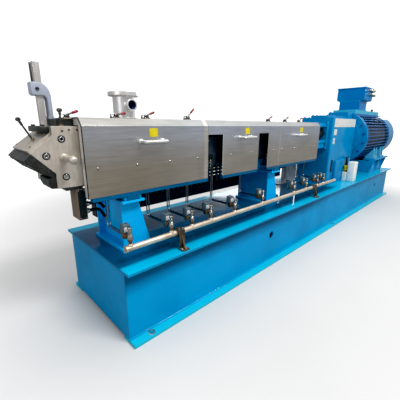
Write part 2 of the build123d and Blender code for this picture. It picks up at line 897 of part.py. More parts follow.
def coupling_sleeves():
    """The two screw shafts' sleeves, seen through the lantern's window."""
    z = (lantern_window_bottom_z + lantern_window_top_z) / 2
    offset = coupling_sleeve_radius + coupling_sleeve_gap / 2
    return gather([rod((lantern_left_x + lantern_wall, side * offset, z), (lantern_window_right_x, side * offset, z),
                       coupling_sleeve_radius) for side in (-1, 1)])


def gearbox_housing():
    """Cast gearbox with a foot flange on the deck."""
    foot_top = deck_top + gearbox_foot_thickness
    body = block(gearbox_left_x, gearbox_right_x, -gearbox_half_width, gearbox_half_width, foot_top, gearbox_top_z)
    body = fillet(body.edges().filter_by(Axis.Z), gearbox_corner_radius)
    foot = block(gearbox_left_x - gearbox_foot_margin, gearbox_right_x,
                 -gearbox_half_width - gearbox_foot_margin, gearbox_half_width + gearbox_foot_margin,
                 deck_top, foot_top)
    return body + foot


def gearbox_top_cover():
    """Cover on the gearbox with a higher hump next to the motor's flange."""
    half = gearbox_cover_half_width
    cover_top = gearbox_top_z + gearbox_cover_thickness
    flat = block(gearbox_cover_left_x, gearbox_hump_left_x, -half, half, gearbox_top_z, cover_top)
    hump_half = gearbox_hump_half_width
    return flat + block(gearbox_hump_left_x, gearbox_right_x, -hump_half, hump_half, gearbox_top_z,
                        gearbox_hump_top_z)


def coupling_housing():
    """Short round housing on the gearbox with the flange ring that carries the motor."""
    axis = motor_axis_height
    drum = rod((gearbox_right_x, 0, axis), (motor_flange_x, 0, axis), coupling_radius)
    return drum + rod((motor_flange_x, 0, axis), (motor_flange_x + motor_flange_thickness, 0, axis),
                      motor_flange_radius)


def motor_frame():
    """Round motor frame with cooling fins along it and a flat pad on top for the terminal box."""
    left = motor_flange_x + motor_flange_thickness
    root = motor_radius - fin_depth
    outline = []
    half_tip = fin_thickness / 2 / motor_radius
    half_root = fin_thickness / 2 / root
    for n in range(fin_count):
        middle = 2 * math.pi * (n + 0.5) / fin_count
        for angle, radius in ((middle - half_root, root), (middle - half_tip, motor_radius),
                              (middle + half_tip, motor_radius), (middle + half_root, root)):
            outline.append((radius * math.cos(angle), motor_axis_height + radius * math.sin(angle)))
    body = end_prism(outline, left + motor_ring_length, motor_body_right_x)
    axis = motor_axis_height
    body += rod((left, 0, axis), (left + motor_ring_length, 0, axis), motor_radius)
    pad_half = neck_half_width + motor_pad_margin
    pad = block(left, motor_body_right_x - motor_pad_end_gap, -pad_half, pad_half, axis, pad_top_z)
    return body + pad


def motor_fan_cowl():
    cowl = rod((motor_body_right_x, 0, motor_axis_height), (cowl_right_x, 0, motor_axis_height), motor_radius)
    rim = cowl.edges().group_by(Axis.X)[-1]
    return fillet(rim, cowl_corner_radius)


def motor_feet():
    """Foot pads with flared ribs under both sides of the frame."""
    pad_bottom = pedestal_top_z
    pad_top = pad_bottom + motor_foot_thickness
    frame = rod((motor_flange_x, 0, motor_axis_height), (motor_body_right_x, 0, motor_axis_height),
                motor_radius + touch_gap)
    shoulder_z = motor_axis_height - motor_radius * motor_foot_rise_share
    shoulder_y = math.sqrt(motor_radius ** 2 - (motor_axis_height - shoulder_z) ** 2)
    feet = []
    for side in (-1, 1):
        outer = side * motor_foot_half_span
        inner = side * (motor_foot_half_span - motor_foot_width)
        outline = [(outer - side * motor_foot_rib_inset, pad_top), (inner, pad_top),
                   (side * (shoulder_y - motor_foot_rib_top), shoulder_z),
                   (side * (shoulder_y - motor_foot_rib_edge), shoulder_z)]
        for x in motor_foot_xs:
            left = x - motor_foot_length / 2
            right = x + motor_foot_length / 2
            foot = block(left, right, min(outer, inner), max(outer, inner), pad_bottom, pad_top)
            for rib_x in (left, right - motor_foot_rib):
                foot += end_prism(outline, rib_x, rib_x + motor_foot_rib)
            feet.append(foot - frame)
    return gather(feet)


def motor_pedestal():
    """Welded pedestal: two side boxes open towards each other, gussets outside and a low end wall."""
    under = pedestal_top_z - pedestal_plate
    wall = pedestal_plate
    pedestal = None
    for side in (-1, 1):
        web_out = side * pedestal_half_width
        web_in = side * (pedestal_half_width - wall)
        edge = side * pedestal_top_half_width
        inner = side * pedestal_opening_half
        web = block(pedestal_left_x, pedestal_right_x, min(web_out, web_in), max(web_out, web_in), deck_top, under)
        plate = block(pedestal_left_x, pedestal_right_x + pedestal_plate_overhang,
                      min(edge, inner), max(edge, inner), under, pedestal_top_z)
        pedestal = web + plate if pedestal is None else pedestal + web + plate
        outline = [(web_out, deck_top), (web_out, under), (edge - side * pedestal_gusset_inset, under)]
        for x in (pedestal_left_x, (pedestal_left_x + pedestal_right_x) / 2, pedestal_right_x - wall):
            pedestal += end_prism(outline, x, x + wall)
    low_top = motor_axis_height - motor_radius - pedestal_wall_clearance
    inside = pedestal_half_width - wall
    for x in (pedestal_left_x, pedestal_right_x - wall):
        pedestal += block(x, x + wall, -inside, inside, deck_top, low_top)
    return pedestal


def terminal_box():
    """Terminal box with rounded lower edges and a lid, on a narrower neck."""
    half = terminal_half_width
    body = block(terminal_left_x, terminal_right_x, -half, half, terminal_bottom_z, terminal_top_z - terminal_lid)
    body = fillet(body.edges().filter_by(Axis.X).group_by(Axis.Z)[0], terminal_corner_radius)
    edge = terminal_lid_edge
    lid = block(terminal_left_x - edge, terminal_right_x + edge, -half - edge, half + edge,
                terminal_top_z - terminal_lid, terminal_top_z)
    neck = block(terminal_left_x, neck_right_x, -neck_half_width, neck_half_width, pad_top_z, terminal_bottom_z)
    return body + lid + neck


def lifting_eye():
    """Flat lifting lug on the motor's top pad."""
    half = eye_length / 2
    low, high = eye_y - eye_thickness / 2, eye_y + eye_thickness / 2
    lug = block(eye_x - half, eye_x + half, low, high, pad_top_z, pad_top_z + eye_height)
    lug = fillet(lug.edges().filter_by(Axis.Y).group_by(Axis.Z)[-1], eye_height / 2)
    hole_z = pad_top_z + eye_height / 2
    return lug - rod((eye_x, low - 1, hole_z), (eye_x, high + 1, hole_z), eye_hole_radius)


def lubrication_boxes():
    """Two white boxes on the deck beside the gearbox."""
    small_x, small_y, small_z = small_box
    large_x, large_y, large_z = large_box
    small = block(box_row_x, box_row_x + small_x, box_row_y - small_y, box_row_y, deck_top, deck_top + small_z)
    start = box_row_y - small_y - box_gap
    large = block(box_row_x, box_row_x + large_x, start - large_y, start, deck_top, deck_top + large_z)
    return gather([small, large])


def lubrication_valve():
    """Round valve with its cap above the smaller box."""
    x = box_row_x + small_box[0] / 2
    y = box_row_y - small_box[1] / 2
    z = deck_top + small_box[2]
    cap_z = z + valve_neck_height
    neck = rod((x, y, z), (x, y, cap_z), valve_neck_radius)
    return neck + rod((x, y, cap_z), (x, y, cap_z + valve_cap_height), valve_cap_radius)


nodes = {
    "deck_plate": deck_plate(),
    "side_beams": gather([side_beam(-1), side_beam(1)]),
    "base_end_plates": end_plates(),
    "base_cross_ribs": cross_ribs(),
    "barrel_stands": gather([stand(left_x) for left_x in stand_left_xs]),
    "cover_rails": cover_rails(),
    "barrel": barrel(),
    "heater_shells": heater_shells(),
    "left_cover": cover(0),
    "middle_cover": cover(1),
    "right_cover": cover(2),
    "cover_seam_band": seam_band(),
    "cover_handles": cover_handles(),
    "cover_clamps": cover_clamps(),
    "vent_port": vent_port(),
    "adapter_flange": adapter_flange(),
    "die_side_plates": die_side_plates(),
    "die_body": die_body(),
    "die_face_plate": die_face_plate(),
    "lower_die_clamp": lower_die_clamp(),
    "die_top_plate": die_top_plate(),
    "slide_bar": slide_bar(),
    "slide_yoke": slide_yoke(),
    "lock_bar": lock_bar(),
    "melt_probes": melt_probes(),
    "clamp_knob": clamp_knob(),
    "die_foot_plate": die_foot_plate(),
    "junction_box": junction_box(),
    "junction_connectors": junction_connectors(),
    "water_manifold": water_manifold(),
    "manifold_brackets": manifold_brackets(),
    "valve_bodies": valve_bodies(),
    "solenoid_coils": solenoid_coils(),
    "cooling_tubes": cooling_tubes(),
    "rear_cable_duct": rear_cable_duct(),
    "rear_duct_supports": rear_duct_supports(),
    "heater_conduits": heater_conduits(),
    "lantern_housing": lantern_housing(),
    "coupling_sleeves": coupling_sleeves(),
    "gearbox_housing": gearbox_housing(),
    "gearbox_top_cover": gearbox_top_cover(),
    "coupling_housing": coupling_housing(),
    "motor_frame": motor_frame(),
    "motor_fan_cowl": motor_fan_cowl(),
    "motor_feet": motor_feet(),
    "motor_pedestal": motor_pedestal(),
    "terminal_box": terminal_box(),
    "lifting_eye": lifting_eye(),
    "lubrication_boxes": lubrication_boxes(),
    "lubrication_valve": lubrication_valve(),
}

os.makedirs("parts", exist_ok=True)
for name, shape in nodes.items():
    keep(shape, name)
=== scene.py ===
import math
import bmesh
import bpy
from mathutils import Matrix, Vector


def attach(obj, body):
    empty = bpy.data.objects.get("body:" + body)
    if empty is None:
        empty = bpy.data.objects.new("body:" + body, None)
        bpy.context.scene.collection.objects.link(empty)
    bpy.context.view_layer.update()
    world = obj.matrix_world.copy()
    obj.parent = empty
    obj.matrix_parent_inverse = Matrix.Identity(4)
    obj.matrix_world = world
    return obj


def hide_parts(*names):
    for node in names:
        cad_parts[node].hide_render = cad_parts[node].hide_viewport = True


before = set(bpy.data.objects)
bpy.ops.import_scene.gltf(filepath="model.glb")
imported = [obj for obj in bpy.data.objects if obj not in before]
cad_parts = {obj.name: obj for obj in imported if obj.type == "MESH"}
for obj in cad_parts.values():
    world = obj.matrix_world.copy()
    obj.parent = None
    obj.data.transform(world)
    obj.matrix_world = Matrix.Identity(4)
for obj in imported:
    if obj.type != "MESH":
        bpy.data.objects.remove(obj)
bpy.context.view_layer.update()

print("frame loaded,", len(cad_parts), "nodes")


# hand tools: small wrappers round the operators used below


def toLinear(hexColour):
    channels = [int(hexColour[i:i + 2], 16) / 255 for i in (1, 3, 5)]
    return [c / 12.92 if c <= 0.04045 else ((c + 0.055) / 1.055) ** 2.4 for c in channels] + [1.0]


def perMetre(millimetres):
    return 1000 / millimetres  # texture scale for a pattern that repeats after this many millimetres


def addNode(material, kind, settings={}, links={}):
    node = material.node_tree.nodes.new(kind)
    for name, value in settings.items():
        if isinstance(name, str) and hasattr(node, name):
            setattr(node, name, value)
        else:
            node.inputs[name].default_value = value
    for name, source in links.items():
        material.node_tree.links.new(source, node.inputs[name])
    return node


def startMaterial(name, settings):
    material = bpy.data.materials.new(name)
    material.use_nodes = True
    shader = material.node_tree.nodes["Principled BSDF"]
    for socket, value in settings.items():
        shader.inputs[socket].default_value = value
    return material, addNode(material, "ShaderNodeTexCoord").outputs["Object"]


def feedShader(material, sources):
    shader = material.node_tree.nodes["Principled BSDF"]
    for socket, source in sources.items():
        material.node_tree.links.new(source, shader.inputs[socket])


def workOn(*pieces):
    bpy.ops.object.select_all(action="DESELECT")
    for piece in pieces:
        piece.select_set(True)
    bpy.context.view_layer.objects.active = pieces[0]


def cutBlock(name, low, high, material, edge=0.002, steps=2):
    # a block sawn to size, its edges broken
    size = [b - a for a, b in zip(low, high)]
    bpy.ops.mesh.primitive_cube_add(size=1, location=[(a + b) / 2 for a, b in zip(low, high)], scale=size)
    block = bpy.context.object
    block.name = name
    bpy.ops.object.transform_apply(location=False, rotation=False, scale=True)
    bpy.ops.object.mode_set(mode="EDIT")
    bpy.ops.mesh.select_all(action="SELECT")
    bpy.ops.mesh.bevel(offset=edge, segments=steps, affect="EDGES")
    bpy.ops.object.mode_set(mode="OBJECT")
    block.data.materials.append(material)
    return block


def turnPiece(name, profile, base, axis, material, sides=32):
    # a turned part: a disc extruded and scaled step by step along its (distance, radius) profile
    distance, radius = profile[0]
    bpy.ops.mesh.primitive_circle_add(vertices=sides, radius=radius, fill_type="NGON", location=(0, 0, 0))
    piece = bpy.context.object
    piece.name = name
    bpy.ops.object.mode_set(mode="EDIT")
    bpy.ops.mesh.select_mode(type="FACE")
    bpy.ops.mesh.select_all(action="SELECT")
    if distance:
        bpy.ops.transform.translate(value=(0, 0, distance))
    for nextDistance, nextRadius in profile[1:]:
        bpy.ops.mesh.extrude_region_move(TRANSFORM_OT_translate={"value": (0, 0, nextDistance - distance)})
        scale = nextRadius / radius
        if abs(scale - 1) > 1e-6:
            bpy.ops.transform.resize(value=(scale, scale, 1), center_override=(0, 0, nextDistance))
        distance, radius = nextDistance, nextRadius
    bpy.ops.object.mode_set(mode="OBJECT")
    piece.data.materials.append(material)
    piece.rotation_mode = "QUATERNION"
    piece.rotation_quaternion = Vector((0, 0, 1)).rotation_difference(Vector(axis))
    piece.location = base
    return piece


def drawLoop(name, corners):
    # a closed loop of edges, drawn corner by corner
    bpy.ops.mesh.primitive_plane_add(size=0.01, location=corners[0])
    piece = bpy.context.object
    piece.name = name
    bpy.ops.object.mode_set(mode="EDIT")
    bpy.ops.mesh.select_mode(type="VERT")
    bpy.ops.mesh.select_all(action="SELECT")
    bpy.ops.mesh.merge(type="CENTER")
    for here, there in zip(corners, corners[1:]):
        bpy.ops.mesh.extrude_region_move(TRANSFORM_OT_translate={"value": Vector(there) - Vector(here)})
    shape = bmesh.from_edit_mesh(piece.data)
    for vert in shape.verts:
        place = piece.matrix_world @ vert.co
        if (place - Vector(corners[0])).length < 1e-6:
            vert.select_set(True)  # the last corner is still selected, so both ends are
    shape.select_flush(True)
    bmesh.update_edit_mesh(piece.data)
    bpy.ops.mesh.edge_face_add()
    bpy.ops.mesh.select_all(action="SELECT")
    return piece


def cutPlate(name, corners, thickness, material, edge=0.002, steps=2):
    # a flame-cut plate: the outline filled, extruded by a vector and its edges broken
    piece = drawLoop(name, corners)
    bpy.ops.mesh.edge_face_add()
    bpy.ops.mesh.select_mode(type="FACE")
    bpy.ops.mesh.select_all(action="SELECT")
    bpy.ops.mesh.extrude_region_move(TRANSFORM_OT_translate={"value": thickness})
    bpy.ops.mesh.select_all(action="SELECT")
    bpy.ops.mesh.normals_make_consistent(inside=False)
    bpy.ops.object.mode_set(mode="OBJECT")
    workOn(piece)
    tool = piece.modifiers.new("edges", "BEVEL")
    tool.width = edge
    tool.segments = steps
    tool.limit_method = "ANGLE"
    tool.angle_limit = math.radians(25)  # only the plate's own corners, not the steps of its arcs
    bpy.ops.object.modifier_apply(modifier=tool.name)
    piece.data.materials.append(material)
    return piece


def spinRing(name, corners, centre, axis, material, sides=48):
    # a ring: its cross-section, given as (distance, radius) corners, spun once round
    piece = drawLoop(name, [(radius, 0, distance) for distance, radius in corners])
    bpy.ops.mesh.spin(steps=sides, angle=2 * math.pi, center=(0, 0, 0), axis=(0, 0, 1))
    bpy.ops.mesh.select_all(action="SELECT")
    bpy.ops.mesh.remove_doubles(threshold=0.00002)
    bpy.ops.object.mode_set(mode="OBJECT")
    bpy.ops.object.transform_apply(location=True, rotation=True, scale=True)
    piece.data.materials.append(material)
    piece.rotation_mode = "QUATERNION"
    piece.rotation_quaternion = Vector((0, 0, 1)).rotation_difference(Vector(axis))
    piece.location = centre
    return piece


def bendBar(name, points, radius, material, sides=6):
    # round bar bent through the points, drawn as a smooth path and made a mesh
    points = [Vector(point) for point in points]
    while len(points) < 5:  # the path that Blender adds has five points
        points.insert(-1, (points[-2] + points[-1]) / 2)
    bpy.ops.curve.primitive_nurbs_path_add(location=(0, 0, 0))
    bar = bpy.context.object
    bar.name = name
    line = bar.data.splines[0]
    if len(points) > len(line.points):
        line.points.add(len(points) - len(line.points))
    for place, point in zip(line.points, points):
        place.co = (*point, 1)
    line.order_u = 3
    line.use_endpoint_u = True
    bar.data.resolution_u = 8
    bar.data.bevel_depth = radius
    bar.data.bevel_resolution = sides
    bar.data.use_fill_caps = True
    bpy.ops.object.convert(target="MESH")
    bar = bpy.context.object
    bar.data.materials.append(material)
    return bar


def joinPieces(name, pieces):
    workOn(*pieces)
    if len(pieces) > 1:
        bpy.ops.object.join()
    piece = bpy.context.object
    piece.name = name
    bpy.ops.object.transform_apply(location=True, rotation=True, scale=True)
    return piece


def setCopies(name, model, spots, facing=(0, 0, 1)):
    # the model, made about the origin pointing up, is copied to every spot and turned to its facing
    workOn(model)
    bpy.ops.object.transform_apply(location=True, rotation=True, scale=True)
    turn = Vector((0, 0, 1)).rotation_difference(Vector(facing))
    copies = []
    for spot in spots:
        workOn(model)
        bpy.ops.object.duplicate(linked=False)
        twin = bpy.context.object
        twin.rotation_mode = "QUATERNION"
        twin.rotation_quaternion = turn
        twin.location = spot
        copies.append(twin)
    bpy.data.objects.remove(model)
    return joinPieces(name, copies)


def turnCopies(name, profile, spots, facing, material, sides=16):
    # the same turned part at every spot
    return setCopies(name, turnPiece(name, profile, (0, 0, 0), (0, 0, 1), material, sides), spots, facing)


def finishPiece(piece, slot, *hidden, angle=35):
    # place into the mesh, normals out, soft shading, and on to the machine
    workOn(piece)
    bpy.ops.object.transform_apply(location=True, rotation=True, scale=True)
    bpy.ops.object.mode_set(mode="EDIT")
    bpy.ops.mesh.select_all(action="SELECT")
    bpy.ops.mesh.remove_doubles(threshold=0.000005)
    bpy.ops.mesh.normals_make_consistent(inside=False)
    bpy.ops.object.mode_set(mode="OBJECT")
    bpy.ops.object.shade_smooth_by_angle(angle=math.radians(angle))
    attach(piece, "root")
    if hidden:
        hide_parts(*hidden)
    return piece


# finishes


def cloudTint(material, cloud, span, tones):
    # two tones of one finish in soft patches: over the span the cloudy noise goes from one to the other
    spread = addNode(material, "ShaderNodeMapRange", {"From Min": span[0], "From Max": span[1]},
        {"Value": cloud.outputs["Fac"]})
    tint = addNode(material, "ShaderNodeMix", {"data_type": "RGBA", 6: toLinear(tones[0]),
        7: toLinear(tones[1])}, {0: spread.outputs["Result"]})
    return tint.outputs[2]


def rubEdges(material, look, colour, span):
    # edges that hands and rags catch turn lighter: the softened normal leaves the face's own there
    soft = addNode(material, "ShaderNodeBevel", {"samples": 4, "Radius": look["edge"]})
    flat = addNode(material, "ShaderNodeNewGeometry")
    turned = addNode(material, "ShaderNodeVectorMath", {"operation": "DOT_PRODUCT"},
        {0: soft.outputs["Normal"], 1: flat.outputs["Normal"]})
    rub = addNode(material, "ShaderNodeMapRange", {"From Min": span[0], "From Max": span[1],
        "To Max": look["rub"]}, {"Value": turned.outputs["Value"]})
    worn = addNode(material, "ShaderNodeMix", {"data_type": "RGBA", 7: toLinear(look["rubbed"])},
        {0: rub.outputs["Result"], 6: colour})
    return worn.outputs[2], soft.outputs["Normal"]


def sprayedEnamel(name, **own):
    # two-pack enamel sprayed on steel: deep wet colour under a clear gloss, faint orange peel, uneven cover
    look = {"rough": 0.4, "coat": 0.45, "coatRough": 0.05, "edge": 0.004, "rub": 0.3, "peel": 9,
            "bump": 0.08, **own}
    material, place = startMaterial(name, {
        "Roughness": look["rough"], "IOR": 1.45, "Specular IOR Level": 0.15,
        "Coat Weight": look["coat"], "Coat Roughness": look["coatRough"]})
    cloud = addNode(material, "ShaderNodeTexNoise", {"Scale": perMetre(420), "Detail": 4.0},
        {"Vector": place})
    tint = cloudTint(material, cloud, (0.35, 0.65), (look["deep"], look["colour"]))
    worn, soft = rubEdges(material, look, tint, (0.995, 0.86))
    peel = addNode(material, "ShaderNodeTexNoise", {"Scale": perMetre(look["peel"]), "Detail": 2.0},
        {"Vector": place})
    bump = addNode(material, "ShaderNodeBump", {"Strength": look["bump"], "Distance": 0.0006},
        {"Height": peel.outputs["Fac"], "Normal": soft})
    film = addNode(material, "ShaderNodeTexNoise", {"Scale": perMetre(90), "Detail": 5.0}, {"Vector": place})
    haze = addNode(material, "ShaderNodeMapRange", {"From Min": 0.3, "From Max": 0.8,
        "To Min": look["rough"] - 0.06, "To Max": look["rough"] + 0.14}, {"Value": film.outputs["Fac"]})
    feedShader(material, {"Base Color": worn, "Normal": bump.outputs["Normal"],
        "Coat Normal": bump.outputs["Normal"], "Roughness": haze.outputs["Result"]})
    return material


def workedSteel(name, **own):
    # bare metal brushed or ground one way: fine lines, cloudy hand marks, edges polished by use
    look = {"metal": 1.0, "rough": 0.36, "roughSpan": 0.07, "cloud": 260, "lines": (6, 120, 160),
            "edge": 0.002, "rub": 0.4, "rubbed": "#e6e6e2", "bump": 0.12, **own}
    material, place = startMaterial(name, {"Metallic": look["metal"], "Roughness": look["rough"]})
    stretch = addNode(material, "ShaderNodeMapping", {"Scale": look["lines"]}, {"Vector": place})
    # real brush lines are 0.1 mm apart and would not show, so they are drawn some millimetres apart
    lines = addNode(material, "ShaderNodeTexNoise", {"Scale": 1.0, "Detail": 3.0, "Roughness": 0.7},
        {"Vector": stretch.outputs["Vector"]})
    cloud = addNode(material, "ShaderNodeTexNoise", {"Scale": perMetre(look["cloud"]), "Detail": 5.0,
        "Distortion": 0.4}, {"Vector": place})
    tint = cloudTint(material, cloud, (0.32, 0.7), (look["colour"], look["soiled"]))
    fine = addNode(material, "ShaderNodeMapRange", {"From Min": 0.3, "From Max": 0.7, "To Min": 0.9,
        "To Max": 1.08}, {"Value": lines.outputs["Fac"]})
    lined = addNode(material, "ShaderNodeVectorMath", {"operation": "SCALE"},
        {0: tint, "Scale": fine.outputs["Result"]})
    worn, soft = rubEdges(material, look, lined.outputs["Vector"], (0.99, 0.85))
    rough = addNode(material, "ShaderNodeMapRange", {"From Min": 0.25, "From Max": 0.75,
        "To Min": look["rough"] - look["roughSpan"], "To Max": look["rough"] + look["roughSpan"]},
        {"Value": lines.outputs["Fac"]})
    bump = addNode(material, "ShaderNodeBump", {"Strength": look["bump"], "Distance": 0.0004},
        {"Height": lines.outputs["Fac"], "Normal": soft})
    feedShader(material, {"Base Color": worn, "Normal": bump.outputs["Normal"],
        "Roughness": rough.outputs["Result"]})
    return material


def mouldedSkin(name, **own):
    # moulded plastic, rubber or cast resin: a fine pebbled skin in two close tones, half matt
    look = {"metal": 0.0, "rough": 0.45, "grain": 2.5, "cloud": 60, "bump": 0.15, **own}
    material, place = startMaterial(name, {"Metallic": look["metal"], "Roughness": look["rough"]})
    grain = addNode(material, "ShaderNodeTexNoise", {"Scale": perMetre(look["grain"]), "Detail": 3.0},
        {"Vector": place})
    cloud = addNode(material, "ShaderNodeTexNoise", {"Scale": perMetre(look["cloud"]), "Detail": 4.0},
        {"Vector": place})
    tint = cloudTint(material, cloud, (0.35, 0.68), (look["colour"], look["soiled"]))
    soft = addNode(material, "ShaderNodeBevel", {"samples": 4, "Radius": 0.0015})
    bump = addNode(material, "ShaderNodeBump", {"Strength": look["bump"], "Distance": 0.0005},
        {"Height": grain.outputs["Fac"], "Normal": soft.outputs["Normal"]})
    rough = addNode(material, "ShaderNodeMapRange", {"From Min": 0.3, "From Max": 0.7,
        "To Min": look["rough"] - 0.08, "To Max": look["rough"] + 0.1}, {"Value": cloud.outputs["Fac"]})
    feedShader(material, {"Base Color": tint, "Normal": bump.outputs["Normal"],
        "Roughness": rough.outputs["Result"]})
    return material


def placeOn(material):
    # X, Y and Z on the machine, for films that lie on one part of a finish
    place = addNode(material, "ShaderNodeTexCoord").outputs["Object"]
    return addNode(material, "ShaderNodeSeparateXYZ", {}, {0: place}).outputs


def distanceFrom(material, point, across):
    # distance to an axis through the point; across has a 1 for each direction square to that axis
    place = addNode(material, "ShaderNodeTexCoord").outputs["Object"]
    moved = addNode(material, "ShaderNodeVectorMath", {"operation": "SUBTRACT", 1: point}, {0: place})
    flat = addNode(material, "ShaderNodeVectorMath", {"operation": "MULTIPLY", 1: across},
        {0: moved.outputs["Vector"]})
    return addNode(material, "ShaderNodeVectorMath", {"operation": "LENGTH"},
        {0: flat.outputs["Vector"]}).outputs["Value"]


def layFilm(material, colour, masks, blend="MIX"):
    # a film of another colour, where every mask holds: each grows from its first value to its second
    shader = material.node_tree.nodes["Principled BSDF"]
    share = None
    for value, start, full, most in masks:
        mask = addNode(material, "ShaderNodeMapRange", {"From Min": start, "From Max": full, "To Max": most},
            {"Value": value})
        if share is None:
            share = mask.outputs["Result"]
        else:
            share = addNode(material, "ShaderNodeMath", {"operation": "MULTIPLY"},
                {0: share, 1: mask.outputs["Result"]}).outputs[0]
    film = addNode(material, "ShaderNodeMix", {"data_type": "RGBA", "blend_type": blend,
        7: toLinear(colour)}, {0: share, 6: shader.inputs["Base Color"].links[0].from_socket})
    feedShader(material, {"Base Color": film.outputs[2]})


baseEnamel = sprayedEnamel("baseBlueEnamel", colour="#0096ca", deep="#0088ba", rubbed="#38bdf0")
# the stands are painted a lighter blue than the same paint on the base, a painted highlight
standEnamel = sprayedEnamel("standBlueEnamel", colour="#12aee8", deep="#0ea2dc", rubbed="#4cc8f4")
# the rails under the covers are painted a darker blue than the base, painted shade
railEnamel = sprayedEnamel("railBlueEnamel", colour="#04608a", deep="#064a6c", rubbed="#2f9cc4")
# cast and welded housings show more of the spray gun's orange peel than flat plate
driveEnamel = sprayedEnamel("driveBlueEnamel", colour="#008cbe", deep="#007eb0", rubbed="#3cb0ea",
    peel=14, bump=0.22)
motorEnamel = sprayedEnamel("motorBlueEnamel", colour="#0a6cb0", deep="#085490", rubbed="#4fa0d8",
    peel=16, bump=0.3)
boxBlueEnamel = sprayedEnamel("terminalBoxEnamel", colour="#007ab8", deep="#006aa6", rubbed="#3cb0ea",
    peel=14, bump=0.22)
# the motor's feet are painted a much lighter blue than the motor, a painted highlight where light falls on
# them
footEnamel = sprayedEnamel("motorFootEnamel", colour="#5cb8dc", deep="#48a4ca", rubbed="#a4dcf0")
cowlEnamel = sprayedEnamel("fanCowlEnamel", colour="#3f86b6", deep="#34759f", rubbed="#7fb4d4",
    peel=12, bump=0.15)
yokeEnamel = sprayedEnamel("yokeGreyEnamel", colour="#acb2be", deep="#9aa1ae", rubbed="#c6cad4", rough=0.42,
    coat=0.2, peel=6, bump=0.3, edge=0.002)
boxEnamel = sprayedEnamel("beigeBoxEnamel", colour="#7e6f61", deep="#685c50", rubbed="#b3a491", rough=0.45,
    coat=0.1, edge=0.0015)

# painted light on the deck: its top is painted a lighter blue than the base's paint, a painted highlight, and
# its inner part under the barrel is painted darker, the barrel's painted shadow and dark reflection; its rim
# and the motor's end keep the light top
deck = {"top": 0.45, "rim": 0.35, "shadeFullY": 0.322, "shadeStartX": 0.42, "shadeFullX": 0.2, "underBarrelShade": "#06486e",
        "edge": "#0a7eac"}
deckEnamel = sprayedEnamel("deckBlueEnamel", colour="#0cb0d6", deep="#0aa4ca", rubbed="#58d4fa")
onDeck = placeOn(deckEnamel)
fromMiddle = addNode(deckEnamel, "ShaderNodeMath", {"operation": "ABSOLUTE"}, {0: onDeck["Y"]})
inside = (fromMiddle.outputs[0], deck["rim"], deck["shadeFullY"], 1)
underBarrel = (onDeck["X"], deck["shadeStartX"], deck["shadeFullX"], 0.95)
# painted shadow and reflection: darker where the barrel stands over the deck's inner part
layFilm(deckEnamel, deck["underBarrelShade"], [inside, underBarrel])
# painted highlight: the lip's faces below the top are painted a darker blue, so only the top carries the
# lighter one
layFilm(deckEnamel, deck["edge"], [(onDeck["Z"], deck["top"] - 0.0006, deck["top"] - 0.002, 0.8)])

# painted light on the beams: a darker band under the deck's lip, towards the die, is the lip's painted
# shadow, and the toe flange is painted brighter, a painted highlight where light falls on it
beamEnamel = sprayedEnamel("beamBlueEnamel", colour="#0096ca", deep="#0088ba", rubbed="#38bdf0")
onBeam = placeOn(beamEnamel)
layFilm(beamEnamel, "#085a84", [(onBeam["Z"], 0.29, 0.37, 1), (onBeam["X"], 0.1, -0.5, 0.85)])
layFilm(beamEnamel, "#20b7d2", [(onBeam["Z"], 0.034, 0.026, 1)])

# painted shade lies deep between the fins, darker towards their roots, and the motor's top with its flat pad
# is painted a lighter blue, a painted highlight where light falls on it
frameEnamel = sprayedEnamel("motorFrameEnamel", colour="#0a68ac", deep="#085694", rubbed="#4f9ccc", rub=0.5,
    peel=16, bump=0.3)
fromShaft = distanceFrom(frameEnamel, (0, 0, 1), (0, 1, 1))
layFilm(frameEnamel, "#0c2138", [(fromShaft, 0.343, 0.318, 0.9)])
layFilm(frameEnamel, "#3aa8c6", [(placeOn(frameEnamel)["Z"], 1.325, 1.34, 1)])

# brushed stainless: cool long glints, a painted reflection that is warm low down and cool high up, darker and
# warmer towards the die, and the shoulder and roof painted darker, painted shade that holds down their
# highlight
coverSteel = workedSteel("brushedStainlessCover", colour="#eaebed", soiled="#dadad8")
onCover = placeOn(coverSteel)
# painted reflection: tinted warm low down and cool high up, for the floor and the sky the sheet mirrors
height = addNode(coverSteel, "ShaderNodeMapRange", {"From Min": 0.94, "From Max": 1.12},
    {"Value": onCover["Z"]})
reflectionTint = addNode(coverSteel, "ShaderNodeMix", {"data_type": "RGBA", 6: toLinear("#e6dfd5"),
    7: toLinear("#eef3ff")}, {0: height.outputs["Result"]})
shader = coverSteel.node_tree.nodes["Principled BSDF"]
reflectionTinted = addNode(coverSteel, "ShaderNodeMix", {"data_type": "RGBA", "blend_type": "MULTIPLY", 0: 1.0},
    {6: shader.inputs["Base Color"].links[0].from_socket, 7: reflectionTint.outputs[2]})
feedShader(coverSteel, {"Base Color": reflectionTinted.outputs[2]})
layFilm(coverSteel, "#f0ece6", [(onCover["X"], -1.9, -2.35, 1)], "MULTIPLY")
# painted shade on the shoulder and roof, to hold down their highlight
layFilm(coverSteel, "#cfcdc5", [(onCover["Z"], 1.158, 1.166, 1)], "MULTIPLY")

# satin stainless pipe; its bore and its branch's are painted darker, painted shade inside them
vent = {"x": -2.289, "top": 1.346, "pipe": 0.062, "branchZ": 1.275, "reach": 0.092,
        "pipeBore": (0.0595, 0.0578), "branchBore": (0.0252, 0.0243), "boreShade": "#5a6288"}
ventSteel = workedSteel("satinStainlessPipe", colour="#f4f2f0", soiled="#dcd8d2", metal=0.8, rough=0.34,
    lines=(120, 120, 18))
fromPipe = distanceFrom(ventSteel, (vent["x"], 0, 0), (1, 1, 0))
fromBranch = distanceFrom(ventSteel, (vent["x"], 0, vent["branchZ"]), (1, 0, 1))
layFilm(ventSteel, vent["boreShade"], [(fromPipe, *vent["pipeBore"], 1)])
layFilm(ventSteel, vent["boreShade"], [(fromBranch, *vent["branchBore"], 1)])

